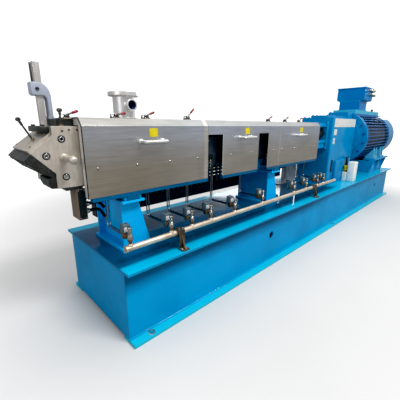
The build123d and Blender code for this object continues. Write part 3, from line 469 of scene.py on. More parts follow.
# sheet and plate: ground, blasted or brushed, and half metallic where an oxide skin greys it
bandSteel = workedSteel("brightSeamSteel", colour="#d2d1cd", soiled="#bcb6ac", rough=0.42, metal=0.8)
ringSteel = workedSteel("blastedEndSteel", colour="#dcd8d0", soiled="#c8c2b8", metal=0.3, rough=0.6)
handleSteel = workedSteel("satinHandleSteel", colour="#d6d6d4", soiled="#c6c5c1", rough=0.5, metal=0.75,
    lines=(20, 200, 200))
barSteel = workedSteel("drawnSteelBar", colour="#dad6d3", soiled="#c9c4bf", metal=0.8, cloud=150,
    lines=(160, 160, 12))
platedSteel = workedSteel("groundSidePlate", colour="#d2cbc2", soiled="#c1b8ac", metal=0.7, rough=0.5,
    cloud=90, lines=(90, 90, 14), bump=0.2)
dieSteel = workedSteel("groundToolSteel", colour="#cfcac1", soiled="#beb5a8", metal=0.7, rough=0.5, cloud=90,
    lines=(90, 90, 14), bump=0.2)
# small turned parts: polished ones mirror the room, blackened and oiled ones only glint on their edges
brightSteel = workedSteel("polishedSteel", colour="#dcdcda", soiled="#c2c1bd", rough=0.2, cloud=40,
    lines=(200, 200, 200))
blackSteel = workedSteel("blackenedSteel", colour="#55534f", soiled="#3b3936", rough=0.4, metal=0.8,
    cloud=60, rubbed="#8a8c92", rub=0.6)
probeMetal = workedSteel("oiledProbeSteel", colour="#77726a", soiled="#55504a", rough=0.35, cloud=30,
    lines=(200, 200, 200))
brassMetal = workedSteel("castBrass", colour="#b99468", soiled="#7c6144", rough=0.4, cloud=22,
    lines=(300, 300, 300))
nickelMetal = workedSteel("nickelPlate", colour="#d2d0ca", soiled="#a8a49a", rough=0.26, cloud=20,
    lines=(250, 250, 250))
# pipes, conduits and castings: zinc is pale and blotchy, heat and oil turn the rest brown or grey
pipeMetal = workedSteel("galvanisedPipe", colour="#e2dacd", soiled="#c4ad98", rough=0.42, cloud=110,
    lines=(20, 200, 200), metal=0.7)
tubeSteel = workedSteel("dullTubeSteel", colour="#9a9da1", soiled="#6f7276", cloud=50, lines=(160, 160, 160))
heaterMetal = workedSteel("heatDarkenedCasting", colour="#5a6472", soiled="#3a424e", rough=0.6, metal=0.5,
    cloud=70, rubbed="#55585e")
bracketMetal = workedSteel("darkBracketSteel", colour="#a08e7c", soiled="#6e5d4b", rough=0.45, cloud=40,
    lines=(120, 120, 120))
conduitZinc = workedSteel("zincConduit", colour="#c2c6ca", soiled="#a3a8ad", metal=0.35, rough=0.5, cloud=60,
    lines=(140, 140, 140))
conduitSteel = workedSteel("coveredFlexConduit", colour="#5f656d", soiled="#41464d", metal=0.4, rough=0.45,
    cloud=40, lines=(80, 80, 400))
# moulded, dipped and powder-coated skins
coilSkin = mouldedSkin("coilResin", colour="#5d6d76", soiled="#46535b")
blackSkin = mouldedSkin("blackRubber", colour="#18191b", soiled="#0d0e0f", rough=0.5)
redSkin = mouldedSkin("dippedRedGrip", colour="#a01624", soiled="#74101a", rough=0.3)
whiteSkin = mouldedSkin("whitePolycarbonate", colour="#e6e8e4", soiled="#d2d5d0", rough=0.3)
yellowSkin = mouldedSkin("yellowCap", colour="#e0d020", soiled="#b8a818", rough=0.35)
yellowSign = mouldedSkin("blankYellowPlate", colour="#d8c81c", soiled="#bcae1a", rough=0.35, bump=0.03)
signSkin = mouldedSkin("blankSignEnamel", colour="#d3d3d0", soiled="#bfc2c0", rough=0.3, bump=0.03)
ductSkin = mouldedSkin("darkDuctPaint", colour="#2c2f33", soiled="#1d1f22", metal=0.2)

finishOf = {  # each node of the frame takes its finish, even where a finer piece stands for it later
    "deck_plate": deckEnamel, "side_beams": beamEnamel, "base_end_plates": baseEnamel,
    "base_cross_ribs": baseEnamel, "barrel_stands": standEnamel, "cover_rails": railEnamel,
    "barrel": heaterMetal, "heater_shells": heaterMetal, "left_cover": coverSteel,
    "middle_cover": coverSteel, "right_cover": coverSteel, "cover_seam_band": bandSteel,
    "cover_handles": brightSteel, "cover_clamps": brightSteel, "vent_port": ventSteel,
    "adapter_flange": dieSteel, "die_side_plates": platedSteel, "die_body": dieSteel,
    "die_face_plate": blackSteel, "lower_die_clamp": blackSteel, "die_top_plate": blackSteel,
    "slide_bar": barSteel, "slide_yoke": yokeEnamel, "lock_bar": blackSteel, "melt_probes": brightSteel,
    "clamp_knob": brightSteel, "die_foot_plate": blackSteel, "junction_box": boxEnamel,
    "junction_connectors": blackSkin, "water_manifold": pipeMetal, "manifold_brackets": bracketMetal,
    "valve_bodies": brassMetal, "solenoid_coils": coilSkin, "cooling_tubes": tubeSteel,
    "rear_cable_duct": ductSkin, "rear_duct_supports": baseEnamel, "heater_conduits": blackSkin,
    "lantern_housing": driveEnamel, "coupling_sleeves": blackSteel, "gearbox_housing": driveEnamel,
    "gearbox_top_cover": driveEnamel, "coupling_housing": driveEnamel, "motor_frame": frameEnamel,
    "motor_fan_cowl": cowlEnamel, "motor_feet": footEnamel, "motor_pedestal": baseEnamel,
    "terminal_box": boxBlueEnamel, "lifting_eye": blackSteel, "lubrication_boxes": whiteSkin,
    "lubrication_valve": yellowSkin,
}
for name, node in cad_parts.items():
    node.data.materials.clear()
    node.data.materials.append(finishOf[name])
print("finishes made and put on the frame's nodes")


# fasteners, each modelled once at the origin pointing up


def hexHead(name, radius, height, material):
    washer = turnPiece(name, [(0, radius * 1.35), (height * 0.16, radius * 1.35),
        (height * 0.22, radius * 1.28)], (0, 0, 0), (0, 0, 1), material, 20)
    head = turnPiece(name, [(height * 0.2, radius), (height * 0.88, radius), (height, radius * 0.86)],
        (0, 0, 0), (0, 0, 1), material, 6)
    return joinPieces(name, [washer, head])


def domeHead(name, radius, height, material):
    return turnPiece(name, [(0, radius), (height * 0.4, radius * 0.97), (height * 0.75, radius * 0.78),
        (height, radius * 0.4)], (0, 0, 0), (0, 0, 1), material, 18)


# covers: screws, end ring, edge seal, blank plates, handles and toggle clamps

covers = {"screwXs": (-2.574, -2.352, -2.129, -1.900, -1.563, -1.300, -0.972, -0.835, -0.605, -0.375,
          -0.151), "screwZ": 0.958, "face": 0.22, "screwRadius": 0.0072, "screwHeight": 0.0045,
          "endX": -2.632, "ringInner": 0.174, "ringTop": 1.164, "ringThick": 0.003, "sealThick": 0.0045,
          "ringOuter": (0.2165, 0.813, 1.1605, 0.1865, 1.1965),
          "sealOuter": (0.2206, 0.811, 1.1624, 0.1884, 1.2008),
          "sealInner": (0.2165, 0.811, 1.1606, 0.1866, 1.1965), "plateXs": (-2.238, -1.371, -0.495),
          "plateWide": 0.056, "plateHigh": 0.046, "plateZ": 1.126}


def coverSection(half, foot, shoulder, roofHalf, roof):
    # the covers' cross-section, from the front foot over the roof to the back foot
    return [(-half, foot), (-half, shoulder), (-roofHalf, roof), (roofHalf, roof),
        (half, shoulder), (half, foot)]


for name, side in (("coverScrewsFront", -1), ("coverScrewsBack", 1)):
    screw = domeHead("coverScrew", covers["screwRadius"], covers["screwHeight"], nickelMetal)
    spots = [(x, side * covers["face"], covers["screwZ"]) for x in covers["screwXs"]]
    finishPiece(setCopies(name, screw, spots, (0, side, 0)), "polished_steel")

wide, foot, top = covers["ringInner"], covers["ringOuter"][1], covers["ringTop"]
outline = coverSection(*covers["ringOuter"]) + [(wide, foot), (wide, top), (-wide, top), (-wide, foot)]
ring = cutPlate("coverEndRing", [(covers["endX"] + 0.002, y, z) for y, z in outline],
    (covers["ringThick"], 0, 0), ringSteel, 0.0006, 1)
finishPiece(ring, "stainless")

outline = coverSection(*covers["sealOuter"]) + coverSection(*covers["sealInner"])[::-1]
seal = cutPlate("coverEdgeSeal", [(covers["endX"] - 0.003, y, z) for y, z in outline],
    (covers["sealThick"], 0, 0), blackSkin, 0.0008, 1)
finishPiece(seal, "black_plastic")

halfWide, halfHigh = covers["plateWide"] / 2, covers["plateHigh"] / 2
foot, top = covers["plateZ"] - halfHigh, covers["plateZ"] + halfHigh
plates = [
    cutBlock("blankPlate", (x - halfWide, -0.2212, foot), (x + halfWide, -0.2199, top), yellowSign, 0.0005, 1)
    for x in covers["plateXs"]]
finishPiece(joinPieces("blankCoverPlates", plates), "white_plastic")

grip = {"xs": (-2.248, -1.390, -0.536), "z": 1.078, "root": 0.2195, "reach": 0.268, "radius": 0.011,
        "half": 0.0715, "bend": 0.02}
footProfile = [(0, 0.0165), (0.003, 0.0165), (0.0045, 0.0145), (0.0055, 0.0115)]
handles = []
for side in (-1, 1):
    tip, root, bend, z = side * grip["reach"], side * grip["root"], grip["bend"], grip["z"]
    for x in grip["xs"]:
        left, right = x - grip["half"], x + grip["half"]
        points = [(left, root, z), (left, tip - side * bend, z), (left, tip, z), (left + bend, tip, z),
            (right - bend, tip, z), (right, tip, z), (right, tip - side * bend, z), (right, root, z)]
        handles.append(bendBar("handleBar", points, grip["radius"], handleSteel, 5))
    feet = [(x + half, side * covers["face"], z) for x in grip["xs"]
        for half in (-grip["half"], grip["half"])]
    handles.append(turnCopies("handleFeet", footProfile, feet, (0, side, 0), handleSteel, 24))
finishPiece(joinPieces("pullHandles", handles), "polished_steel", "cover_handles")

toggle = {"xs": (-2.4, -2.21, -1.89, -0.925, -0.632, -0.35, -2.655), "y": -0.11, "reach": 0.052,
          "pivot": 0.02, "rises": (0.008, 0.018, 0.048, 0.024, 0.026, 0.022, 0.018), "roof": 1.2,
          "dieTop": 1.192, "footHalf": (0.02, 0.014), "footThick": 0.005, "cheekY": 0.0065,
          "cheekThick": 0.002, "pinHalf": 0.011}
clampParts = []
for x, rise in zip(toggle["xs"], toggle["rises"]):
    y, seat = toggle["y"], toggle["dieTop"] if x < covers["endX"] else toggle["roof"]
    long, wide = toggle["footHalf"]
    clampParts.append(cutBlock("clampFoot", (x - long, y - wide, seat),
        (x + long, y + wide, seat + toggle["footThick"]), bracketMetal, 0.0015))
    for side in (-1, 1):  # two cheeks with the lever between them
        cheek = [(-0.016, 0.004), (0.014, 0.004), (0.011, 0.02), (0.004, 0.027), (-0.004, 0.025)]
        clampParts.append(cutPlate("clampCheek", [(x + a, y + side * toggle["cheekY"], seat + b)
            for a, b in cheek], (0, side * toggle["cheekThick"], 0), probeMetal, 0.0005, 1))
    spots = [(x + a, y + b, seat + toggle["footThick"]) for a in (-0.015, 0.015) for b in (-0.0108, 0.0108)]
    clampParts.append(turnCopies("clampScrews", [(0, 0.0036), (0.002, 0.0034), (0.003, 0.002)], spots,
        (0, 0, 1), brightSteel, 10))
    pivot = Vector((x, y, seat + toggle["pivot"]))
    clampParts.append(turnPiece("clampPin", [(0, 0.0035), (0.022, 0.0035), (0.0225, 0.003)],
        pivot - Vector((0, toggle["pinHalf"], 0)), (0, 1, 0), brightSteel, 12))
    lever = Vector((toggle["reach"], 0, rise))
    clampParts.append(bendBar("clampLever", [pivot + lever * share for share in (-0.12, 0.2, 0.6)],
        0.0042, probeMetal, 3))
    clampParts.append(turnPiece("clampGrip", [(0, 0.0048), (0.003, 0.0062), (lever.length * 0.5, 0.0066),
        (lever.length * 0.56, 0.0055), (lever.length * 0.58, 0.003)], pivot + lever * 0.5,
        lever, redSkin, 16))
    arm = [(-0.002, 0, 0.002), (-0.016, 0, 0.003), (-0.03, 0, 0.001)]
    clampParts.append(bendBar("clampArm", [pivot + Vector(step) for step in arm], 0.0035, brightSteel, 3))
    clampParts.append(turnPiece("clampTip", [(0, 0.0055), (0.008, 0.0055), (0.0095, 0.003), (0.02, 0.003)],
        (x + arm[-1][0], y, seat + 0.001), (0, 0, 1), blackSkin, 14))
finishPiece(joinPieces("toggleClamps", clampParts), "polished_steel", "cover_clamps")
print("covers dressed")

# vent port: weld beads, raised face and the collar round its pipe

inner, up = vent["pipe"] - 0.002, (0, 0, 1)
bead = [(-0.0035, inner), (-0.0035, vent["pipe"] + 0.003), (0, vent["pipe"] + 0.0045),
    (0.003, vent["pipe"] + 0.004), (0.003, inner)]
weld = [spinRing("ventWeld", bead, (vent["x"], 0, z), up, ventSteel) for z in (vent["top"] - 0.0215, 1.2045)]
weld.append(spinRing("ventFace", [(0, 0.0575), (0, 0.069), (0.002, 0.069), (0.002, 0.0575)],
    (vent["x"], 0, vent["top"]), up, ventSteel))
weld.append(spinRing("branchLip", [(0, 0.0235), (0, 0.0325), (0.003, 0.0315), (0.003, 0.0245)],
    (vent["x"], -vent["reach"], vent["branchZ"]), (0, -1, 0), ventSteel, 36))
finishPiece(joinPieces("ventWelds", weld), "stainless")
collar = spinRing("ventCollar", [(0, 0.0635), (0, 0.08), (0.0025, 0.08), (0.004, 0.077), (0.004, 0.0635)],
    (vent["x"], 0, toggle["roof"]), up, blackSkin)
finishPiece(collar, "black_plastic")
print("vent port dressed")

# die head

dieHead = {"face": 0.17, "bolts": ((-2.709, 1.103), (-2.781, 1.030), (-2.708, 0.928)), "bolt": 0.0125,
           "ring": 0.0175, "setScrews": ((-2.671, 1.143), (-2.635, 1.143), (-2.702, 1.139)),
           "slopeHigh": Vector((-2.746, 0, 1.1414)), "slopeLow": Vector((-2.8506, 0, 1.0546)),
           "faceHigh": Vector((-2.841, 0, 1.043)), "faceLow": Vector((-2.75, 0, 0.948)), "faceThick": 0.042,
           "faceScrewDown": 0.018, "faceScrewYs": (-0.15, -0.09, -0.03, 0.03, 0.09, 0.15),
           "sideScrewRun": 0.13, "sideScrewShares": (0.2, 0.52, 0.8), "sideScrewOut": 0.013,
           "slopeScrewYs": (-0.13, 0.13), "slopeScrewShares": (0.22, 0.82), "top": 1.192,
           "topScrewXs": (-2.69, -2.62), "topScrewYs": (-0.1, 0.1)}
rings, screws = [], []
# a raised black ring round each bolt head is painted shade: the shadow gap of its counterbore
for side in (-1, 1):
    spots = [(x, side * dieHead["face"], z) for x, z in dieHead["bolts"]]
    ring = spinRing("boltShadeRing", [(-0.001, 0.0118), (-0.001, dieHead["ring"]),
        (0.0012, dieHead["ring"] - 0.001), (0.0012, 0.0118)], (0, 0, 0), up, blackSkin, 30)
    rings.append(setCopies("boltShadeRings", ring, spots, (0, side, 0)))
    screws.append(turnCopies("dieBolts", [(0, dieHead["bolt"]), (0.0022, dieHead["bolt"] - 0.0004),
        (0.003, 0.0115), (0.003, 0.0062), (-0.0005, 0.0058)], spots, (0, side, 0), brightSteel, 24))
    spots = [(x, side * dieHead["face"], z) for x, z in dieHead["setScrews"]]
    screws.append(turnCopies("dieSetScrews", [(0, 0.0056), (0.0008, 0.0052), (0.0008, 0.0034),
        (-0.0004, 0.0032)], spots, (0, side, 0), brassMetal, 14))
finishPiece(joinPieces("dieBoltShadeRings", rings), "black_plastic")

# down the sloping top, towards the die's lips
slopeRun = (dieHead["slopeLow"] - dieHead["slopeHigh"]).normalized()
slopeNormal = Vector((-slopeRun.z, 0, slopeRun.x))
if slopeNormal.z < 0:
    slopeNormal = -slopeNormal
spots = [dieHead["slopeHigh"].lerp(dieHead["slopeLow"], share) + Vector((0, y, 0))
    for y in dieHead["slopeScrewYs"] for share in dieHead["slopeScrewShares"]]
screws.append(turnCopies("slopeScrews", [(0, 0.0065), (0.0012, 0.006), (0.0012, 0.004), (-0.0004, 0.0037)],
    spots, slopeNormal, brassMetal))
finishPiece(joinPieces("dieScrews", screws), "polished_steel")

along = (dieHead["faceLow"] - dieHead["faceHigh"]).normalized()  # down the face plate
outward = Vector((along.z, 0, -along.x))
if outward.x > 0:
    outward = -outward
plateScrew = [(0, 0.0075), (0.003, 0.0072), (0.0036, 0.0062), (0.0036, 0.004), (0.001, 0.0037)]
row = dieHead["faceHigh"] + outward * dieHead["faceThick"] + along * dieHead["faceScrewDown"]
spots = [row + Vector((0, y, 0)) for y in dieHead["faceScrewYs"]]
screws = [turnCopies("facePlateScrews", plateScrew, spots, outward, blackSteel)]
spots = [(x, y, dieHead["top"]) for x in dieHead["topScrewXs"] for y in dieHead["topScrewYs"]]
screws.append(turnCopies("topPlateScrews", plateScrew, spots, up, blackSteel))
for side in (-1, 1):
    start = dieHead["faceHigh"] + outward * dieHead["sideScrewOut"] + Vector((0, side * dieHead["face"], 0))
    spots = [start + along * dieHead["sideScrewRun"] * share for share in dieHead["sideScrewShares"]]
    screws.append(turnCopies("facePlateSideScrews", [(0, 0.006), (0.0022, 0.0056), (0.0022, 0.0036),
        (0.0004, 0.0033)], spots, (0, side, 0), blackSteel, 14))
lock = {"left": -2.783, "right": -2.747, "under": 1.134, "top": 1.16, "near": -0.14, "far": 0.07,
        "screwX": -2.765, "screwYs": (-0.118, 0.048)}
screws.append(turnCopies("lockBarScrews", [(0, 0.0095), (0.006, 0.0092), (0.0075, 0.008), (0.0075, 0.005),
    (0.002, 0.0048)], [(lock["screwX"], y, lock["top"]) for y in lock["screwYs"]], up, blackSteel))
finishPiece(joinPieces("blackDieScrews", screws), "dark_steel")

bars = [
    cutBlock("lockBarBody", (lock["left"], lock["near"], lock["under"]),
        (lock["right"], lock["far"], lock["top"]), blackSteel, 0.003),
    cutBlock("lockBarShoe", (-2.7575, -0.06, 1.1335), (-2.7475, 0.06, 1.142), blackSteel, 0.0015, 1)]
finishPiece(joinPieces("lockBar", bars), "dark_steel", "lock_bar")

yoke = {"left": -2.768, "right": -2.686, "bottom": 1.298, "top": 1.356, "half": 0.028,
        "foot": dieHead["top"], "shoulder": 0.048, "drop": 0.062, "inner": -2.704, "crook": (0.014, 0.022)}


def quarter(middle, radii, start, end, steps):
    # points on a quarter of an oval, from one angle in degrees to the other
    angles = [math.radians(start + (end - start) * n / steps) for n in range(steps + 1)]
    return [(middle[0] + radii[0] * math.cos(angle), middle[1] + radii[1] * math.sin(angle))
        for angle in angles]


# the casting's shoulder is one long bend, like a goose neck
shoulder = quarter((yoke["right"] - yoke["shoulder"], yoke["top"] - yoke["drop"]),
    (yoke["shoulder"], yoke["drop"]), 90, 0, 8)
crook = quarter((yoke["inner"] - yoke["crook"][0], yoke["bottom"] - yoke["crook"][1]),
    yoke["crook"], 0, 90, 5)
outline = [(yoke["left"], yoke["bottom"] + 0.008), (yoke["left"], yoke["top"]), *shoulder,
    (yoke["right"], yoke["foot"]), (yoke["inner"], yoke["foot"]), *crook,
    (yoke["left"] + 0.008, yoke["bottom"])]
casting = cutPlate("yokeCasting", [(x, -yoke["half"], z) for x, z in outline], (0, 2 * yoke["half"], 0),
    yokeEnamel, 0.0035, 3)
finishPiece(casting, "yoke_grey", "slide_yoke")

rod = turnPiece("guideRod", [(0, 0.0045), (0.094, 0.0045), (0.096, 0.0035)], (-2.752, 0, 1.345),
    up, blackSteel, 16)
finishPiece(rod, "dark_steel")
sideBolt = [(0, 0.008), (0.005, 0.0078), (0.006, 0.0065), (0.006, 0.004), (0.002, 0.0038)]
yokeBolts = [
    turnPiece("yokeBolt", sideBolt, (-2.742, -yoke["half"], 1.327), (0, -1, 0), blackSteel, 16),
    turnPiece("yokeBolt", sideBolt, (-2.718, yoke["half"], 1.327), (0, 1, 0), blackSteel, 16),
    cutBlock("yokeFoot", (-2.7075, -0.0275, yoke["foot"]), (-2.683, 0.0275, 1.206), yokeEnamel, 0.002),
    turnCopies("yokeFootBolts", [(0, 0.0055), (0.004, 0.0052), (0.004, 0.003), (0.001, 0.0028)],
        [(-2.6755, y, yoke["foot"]) for y in (-0.018, 0.018)], up, brightSteel, 14)]
finishPiece(joinPieces("yokeFittings", yokeBolts), "yoke_grey")

probe = {"bossHeight": 0.006, "headHalf": 0.013, "slopeShift": -0.058, "slopeLength": 0.096,
         "foot": Vector((-2.699, -0.159, 1.16)), "footLength": 0.064}
middle = dieHead["slopeHigh"].lerp(dieHead["slopeLow"], 0.5) + Vector((0, probe["slopeShift"], 0))
lean = Vector((slopeNormal.x * 0.6, 0, slopeNormal.z)).normalized()
probeParts = []
for foot, normal, way, length in ((middle, slopeNormal, lean, probe["slopeLength"]),
        (probe["foot"], Vector(up), Vector(up), probe["footLength"])):
    top = foot + normal * probe["bossHeight"]
    stem = [(0, 0.004), (length * 0.72, 0.004), (length * 0.74, 0.0055), (length * 0.88, 0.006),
        (length * 0.96, 0.0045)]
    probeParts.append(turnPiece("probeNut", [(0, 0.0095), (0.005, 0.0095), (0.006, 0.0082)], foot,
        normal, brassMetal, 6))
    probeParts.append(turnPiece("probeStem", stem, top - way * 0.002, way, probeMetal, 16))
    probeParts.append(turnPiece("probeHead", [(0, 0.0072), (0.002, 0.009), (0.024, 0.009), (0.026, 0.0072)],
        top + way * length - Vector((0, probe["headHalf"], 0)), (0, 1, 0), probeMetal, 20))
finishPiece(joinPieces("meltProbes", probeParts), "polished_steel", "melt_probes")

knob = {"x": -2.706, "z": 1.017, "face": -0.17, "ball": -0.2605}
knobStem = [(0, 0.02), (0.006, 0.02), (0.008, 0.014), (0.07, 0.0135), (0.082, 0.0115), (0.098, 0.0105)]
knobBall = [(0, 0.009), (0.004, 0.0135), (0.009, 0.017), (0.0155, 0.0188), (0.021, 0.019), (0.027, 0.0178),
    (0.033, 0.0145), (0.0365, 0.01), (0.038, 0.005)]
knobParts = [turnPiece("knobPart", profile, (knob["x"], y, knob["z"]), (0, -1, 0), dieSteel, 28)
    for profile, y in ((knobStem, knob["face"]), (knobBall, knob["ball"]))]
finishPiece(joinPieces("clampKnob", knobParts), "polished_steel", "clamp_knob")
print("die head dressed")

# junction box under the die

box = {"low": (-2.67, -0.17, 0.698), "high": (-2.626, -0.075, 0.86), "lidFace": -0.1722, "plugY": -0.136,
       "plugZs": (0.808, 0.770, 0.732), "falls": (0.012, 0.026, 0.036), "sleeveX": -2.604}
boxParts = [
    cutBlock("junctionBoxShell", box["low"], box["high"], boxEnamel, 0.002),
    cutBlock("junctionBoxPanel", (-2.6665, box["lidFace"], 0.7015), (-2.6295, -0.1695, 0.8565), blackSkin,
        0.001, 1),
    turnCopies("junctionScrews", [(0, 0.0026), (0.0012, 0.0024), (0.002, 0.0014)],
        [(x, box["lidFace"], z) for x in (-2.662, -2.634) for z in (0.707, 0.851)], (0, -1, 0),
        brightSteel, 10)]
finishPiece(joinPieces("junctionBox", boxParts), "box_grey", "junction_box")
plugNut = [(0, 0.0125), (0.003, 0.0125), (0.003, 0.0145), (0.01, 0.0145), (0.011, 0.0135), (0.018, 0.0135),
    (0.022, 0.0115)]
plugSleeve = [(0, 0.009), (0.004, 0.0095), (0.006, 0.0085), (0.009, 0.0095), (0.012, 0.0085),
    (0.015, 0.0092), (0.018, 0.008), (0.024, 0.007)]
plugParts = [
    turnCopies("plugParts", profile, [(x, box["plugY"], z) for z in box["plugZs"]], (1, 0, 0), metal, sides)
    for profile, x, metal, sides in (
        (plugNut, box["high"][0], nickelMetal, 12), (plugSleeve, box["sleeveX"], blackSkin, 18))]
finishPiece(joinPieces("junctionPlugs", plugParts), "black_plastic", "junction_connectors")
boots = []
for z, fall in zip(box["plugZs"], box["falls"]):  # moulded boots that turn the leads towards the stand
    boots.append(bendBar("plugBoot", [(-2.583, box["plugY"], z), (-2.565, box["plugY"], z),
        (-2.545, -0.134, z - fall * 0.3), (-2.528, -0.128, z - fall), (-2.517, -0.118, z - fall * 1.6)],
        0.0085, blackSkin, 4))
finishPiece(joinPieces("plugBoots", boots), "black_plastic")
print("junction box dressed")

# water stations: one modelled, the rest copied

header = {"y": -0.34, "z": 0.548, "left": -2.522, "right": 0.211, "bodyY": -0.296, "valveZ": 0.606,
          "stations": (-2.4901, -2.2215, -2.0604, -1.8915, -1.6408, -1.2878, -0.7609, -0.5204,
          -0.2646, -0.1112)}
y, z, bodyY, valveZ = (header[key] for key in ("y", "z", "bodyY", "valveZ"))
# profile, height of its foot, material and sides, from the header's socket up to the needle's knob
valveParts = (
    ([(0, 0.0145), (0.006, 0.0145), (0.01, 0.0115), (0.014, 0.0105)], z + 0.011, pipeMetal, 20),
    ([(0, 0.009), (0.016, 0.009), (0.017, 0.0135), (0.026, 0.0135), (0.0265, 0.0095), (0.034, 0.0095)],
        z + 0.022, brassMetal, 18),
    ([(0, 0.0145), (0.009, 0.0145), (0.010, 0.0125)], valveZ - 0.0155, brassMetal, 6),
    ([(0, 0.0125), (0.004, 0.0145), (0.014, 0.0145), (0.02, 0.0125), (0.021, 0.011)], valveZ - 0.009,
        nickelMetal, 20),
    ([(0, 0.0125), (0.008, 0.0125), (0.009, 0.0105), (0.016, 0.0105), (0.017, 0.012), (0.026, 0.012),
        (0.027, 0.0085), (0.036, 0.008)], valveZ + 0.011, nickelMetal, 6),
    ([(0, 0.0095), (0.002, 0.0125), (0.011, 0.0125), (0.014, 0.0105)], valveZ + 0.044, nickelMetal, 14))
station = [turnPiece("valvePart", profile, (0, y, foot), up, metal, sides)
    for profile, foot, metal, sides in valveParts]
station.append(turnPiece("crossNipple", [(0, 0.0125), (0.007, 0.0125), (0.0075, 0.009), (0.020, 0.009),
    (0.0205, 0.0128), (0.031, 0.0128)], (0, y + 0.006, valveZ), (0, 1, 0), brassMetal, 6))
station.append(cutBlock("valveBody", (-0.0165, bodyY - 0.0145, valveZ - 0.0165),
    (0.0165, bodyY + 0.0135, valveZ + 0.0145), brassMetal, 0.004))
station.append(turnCopies("tubeNuts", [(0, 0.0072), (0.009, 0.0072), (0.0105, 0.006), (0.0105, 0.0045),
    (0.014, 0.0042)], [(x, bodyY + 0.0125, valveZ) for x in (-0.008, 0.008)], (0, 1, 0), nickelMetal, 6))
places = [(x, 0, 0) for x in header["stations"]]
finishPiece(setCopies("coolingValves", joinPieces("stationModel", station), places),
    "valve_brass", "valve_bodies")

coil = [
    cutBlock("coilCan", (-0.0205, -0.3125, 0.6195), (0.0205, -0.2735, 0.670), coilSkin, 0.004, 3),
    turnPiece("coilFlange", [(0, 0.011), (0.0006, 0.0125), (0.0012, 0.011)], (0, -0.292, 0.619), up,
        nickelMetal, 18),
    turnPiece("coilNut", [(0, 0.0075), (0.0005, 0.0085), (0.0018, 0.0085), (0.0022, 0.007)],
        (0, -0.292, 0.6685), up, brightSteel, 6),
    cutBlock("coilPlug", (-0.0105, -0.2768, 0.628), (0.0105, -0.2715, 0.656), blackSkin, 0.0015),
    cutBlock("coilPlate", (-0.015, -0.3134, 0.63), (0.015, -0.3122, 0.656), signSkin, 0.0004, 1)]
finishPiece(setCopies("solenoidCoils", joinPieces("coilModel", coil), places), "box_grey", "solenoid_coils")
print("water stations modelled")

capProfile = [(0, 0.0175), (0.0005, 0.0192), (0.012, 0.0192), (0.014, 0.0178), (0.014, 0.0172)]
caps = [turnPiece("headerCap", capProfile, (x, y, z), (way, 0, 0), pipeMetal, 28)
    for x, way in ((header["left"] + 0.0135, -1), (header["right"] - 0.0135, 1))]
finishPiece(joinPieces("headerCaps", caps), "valve_brass")

bracket = {"xs": (-2.168, -0.362), "strapZ": 0.5735, "strapY": -0.36, "footY": -0.389, "footZ": 0.458,
           "spread": 0.012}
spread = (-bracket["spread"], bracket["spread"])
bracketParts = [
    turnCopies("strapBolts", [(0, 0.0082), (0.006, 0.0082), (0.0068, 0.007)],
        [(x + shift, bracket["strapY"], bracket["strapZ"]) for x in bracket["xs"] for shift in spread], up,
        nickelMetal, 6),
    turnCopies("footBolts",
        [(0, 0.0105), (0.0015, 0.0105), (0.0016, 0.0078), (0.0075, 0.0078), (0.0085, 0.0066)],
        [(x + shift * 1.1, bracket["footY"], bracket["footZ"]) for x in bracket["xs"] for shift in spread],
        up, nickelMetal, 6)]
for x in bracket["xs"]:
    corners = [(x - 0.003, -0.375, 0.4575), (x - 0.003, -0.402, 0.4575), (x - 0.003, -0.3752, 0.535)]
    bracketParts.append(cutPlate("bracketGusset", corners, (0.006, 0, 0), bracketMetal, 0.0006, 1))
finishPiece(joinPieces("bracketFittings", bracketParts), "manifold_steel")
print("header dressed")

# heaters: plug sockets on the barrel's front, seen through the openings of the covers

heater = {"first": -2.618, "pitch": 0.2558, "count": 10, "plugY": -0.150, "pinFoot": 0.873,
          "pinSpread": 0.016, "bandY": -0.141, "bandZs": (0.90, 1.06)}
middles = [heater["first"] + (n + 0.5) * heater["pitch"] for n in range(heater["count"])]
plug = cutBlock("heaterPlugBlock", (-0.03, -0.158, 0.925), (0.03, -0.1408, 0.965), blackSkin, 0.002)
plugs = [
    setCopies("heaterPlugBlocks", plug, [(x, 0, 0) for x in middles]),
    turnCopies("heaterPlugPins",
        [(0, 0.0085), (0.03, 0.0085), (0.032, 0.0095), (0.05, 0.0095), (0.052, 0.008)],
        [(x + way * heater["pinSpread"], heater["plugY"], heater["pinFoot"])
            for x in middles for way in (-1, 1)], up, nickelMetal),
    turnCopies("heaterBandScrews", [(0, 0.0075), (0.006, 0.0072), (0.0068, 0.006)],
        [(x, heater["bandY"], z) for x in middles for z in heater["bandZs"]], (0, -1, 0), brightSteel, 6)]
finishPiece(joinPieces("heaterPlugs", plugs), "dark_steel")

# base: foundation hole rims and weld beads

base = {"left": -2.55, "length": 5.1, "flangeTop": 0.02, "holeY": 0.398, "holeXs": (-2.425, 0.187, 2.425),
        "web": 0.37, "deckUnder": 0.434, "deckTop": 0.45, "standLefts": (-2.44, -0.96), "standHalf": 0.186,
        "bead": 0.007, "standBead": 0.006, "standBeadLength": 0.214, "standBeadBefore": 0.016}
rim = spinRing("foundationRim", [(0, 0.0135), (0, 0.022), (0.0012, 0.0215), (0.0016, 0.0142)], (0, 0, 0), up,
    nickelMetal, 32)
holes = [(x, side * base["holeY"], base["flangeTop"]) for x in base["holeXs"] for side in (-1, 1)]
finishPiece(setCopies("foundationRims", rim, holes), "stainless")


def weldBead(left, y, z, side, rise, length, size, edge, steps):
    # a fillet in the corner at y and z: size wide away from the web and as high as rise says, up or down
    corners = [(left, y, z), (left, y + side * size, z), (left, y, z + rise)]
    return cutPlate("weldBead", corners if side * rise > 0 else corners[::-1], (length, 0, 0),
        baseEnamel, edge, steps)


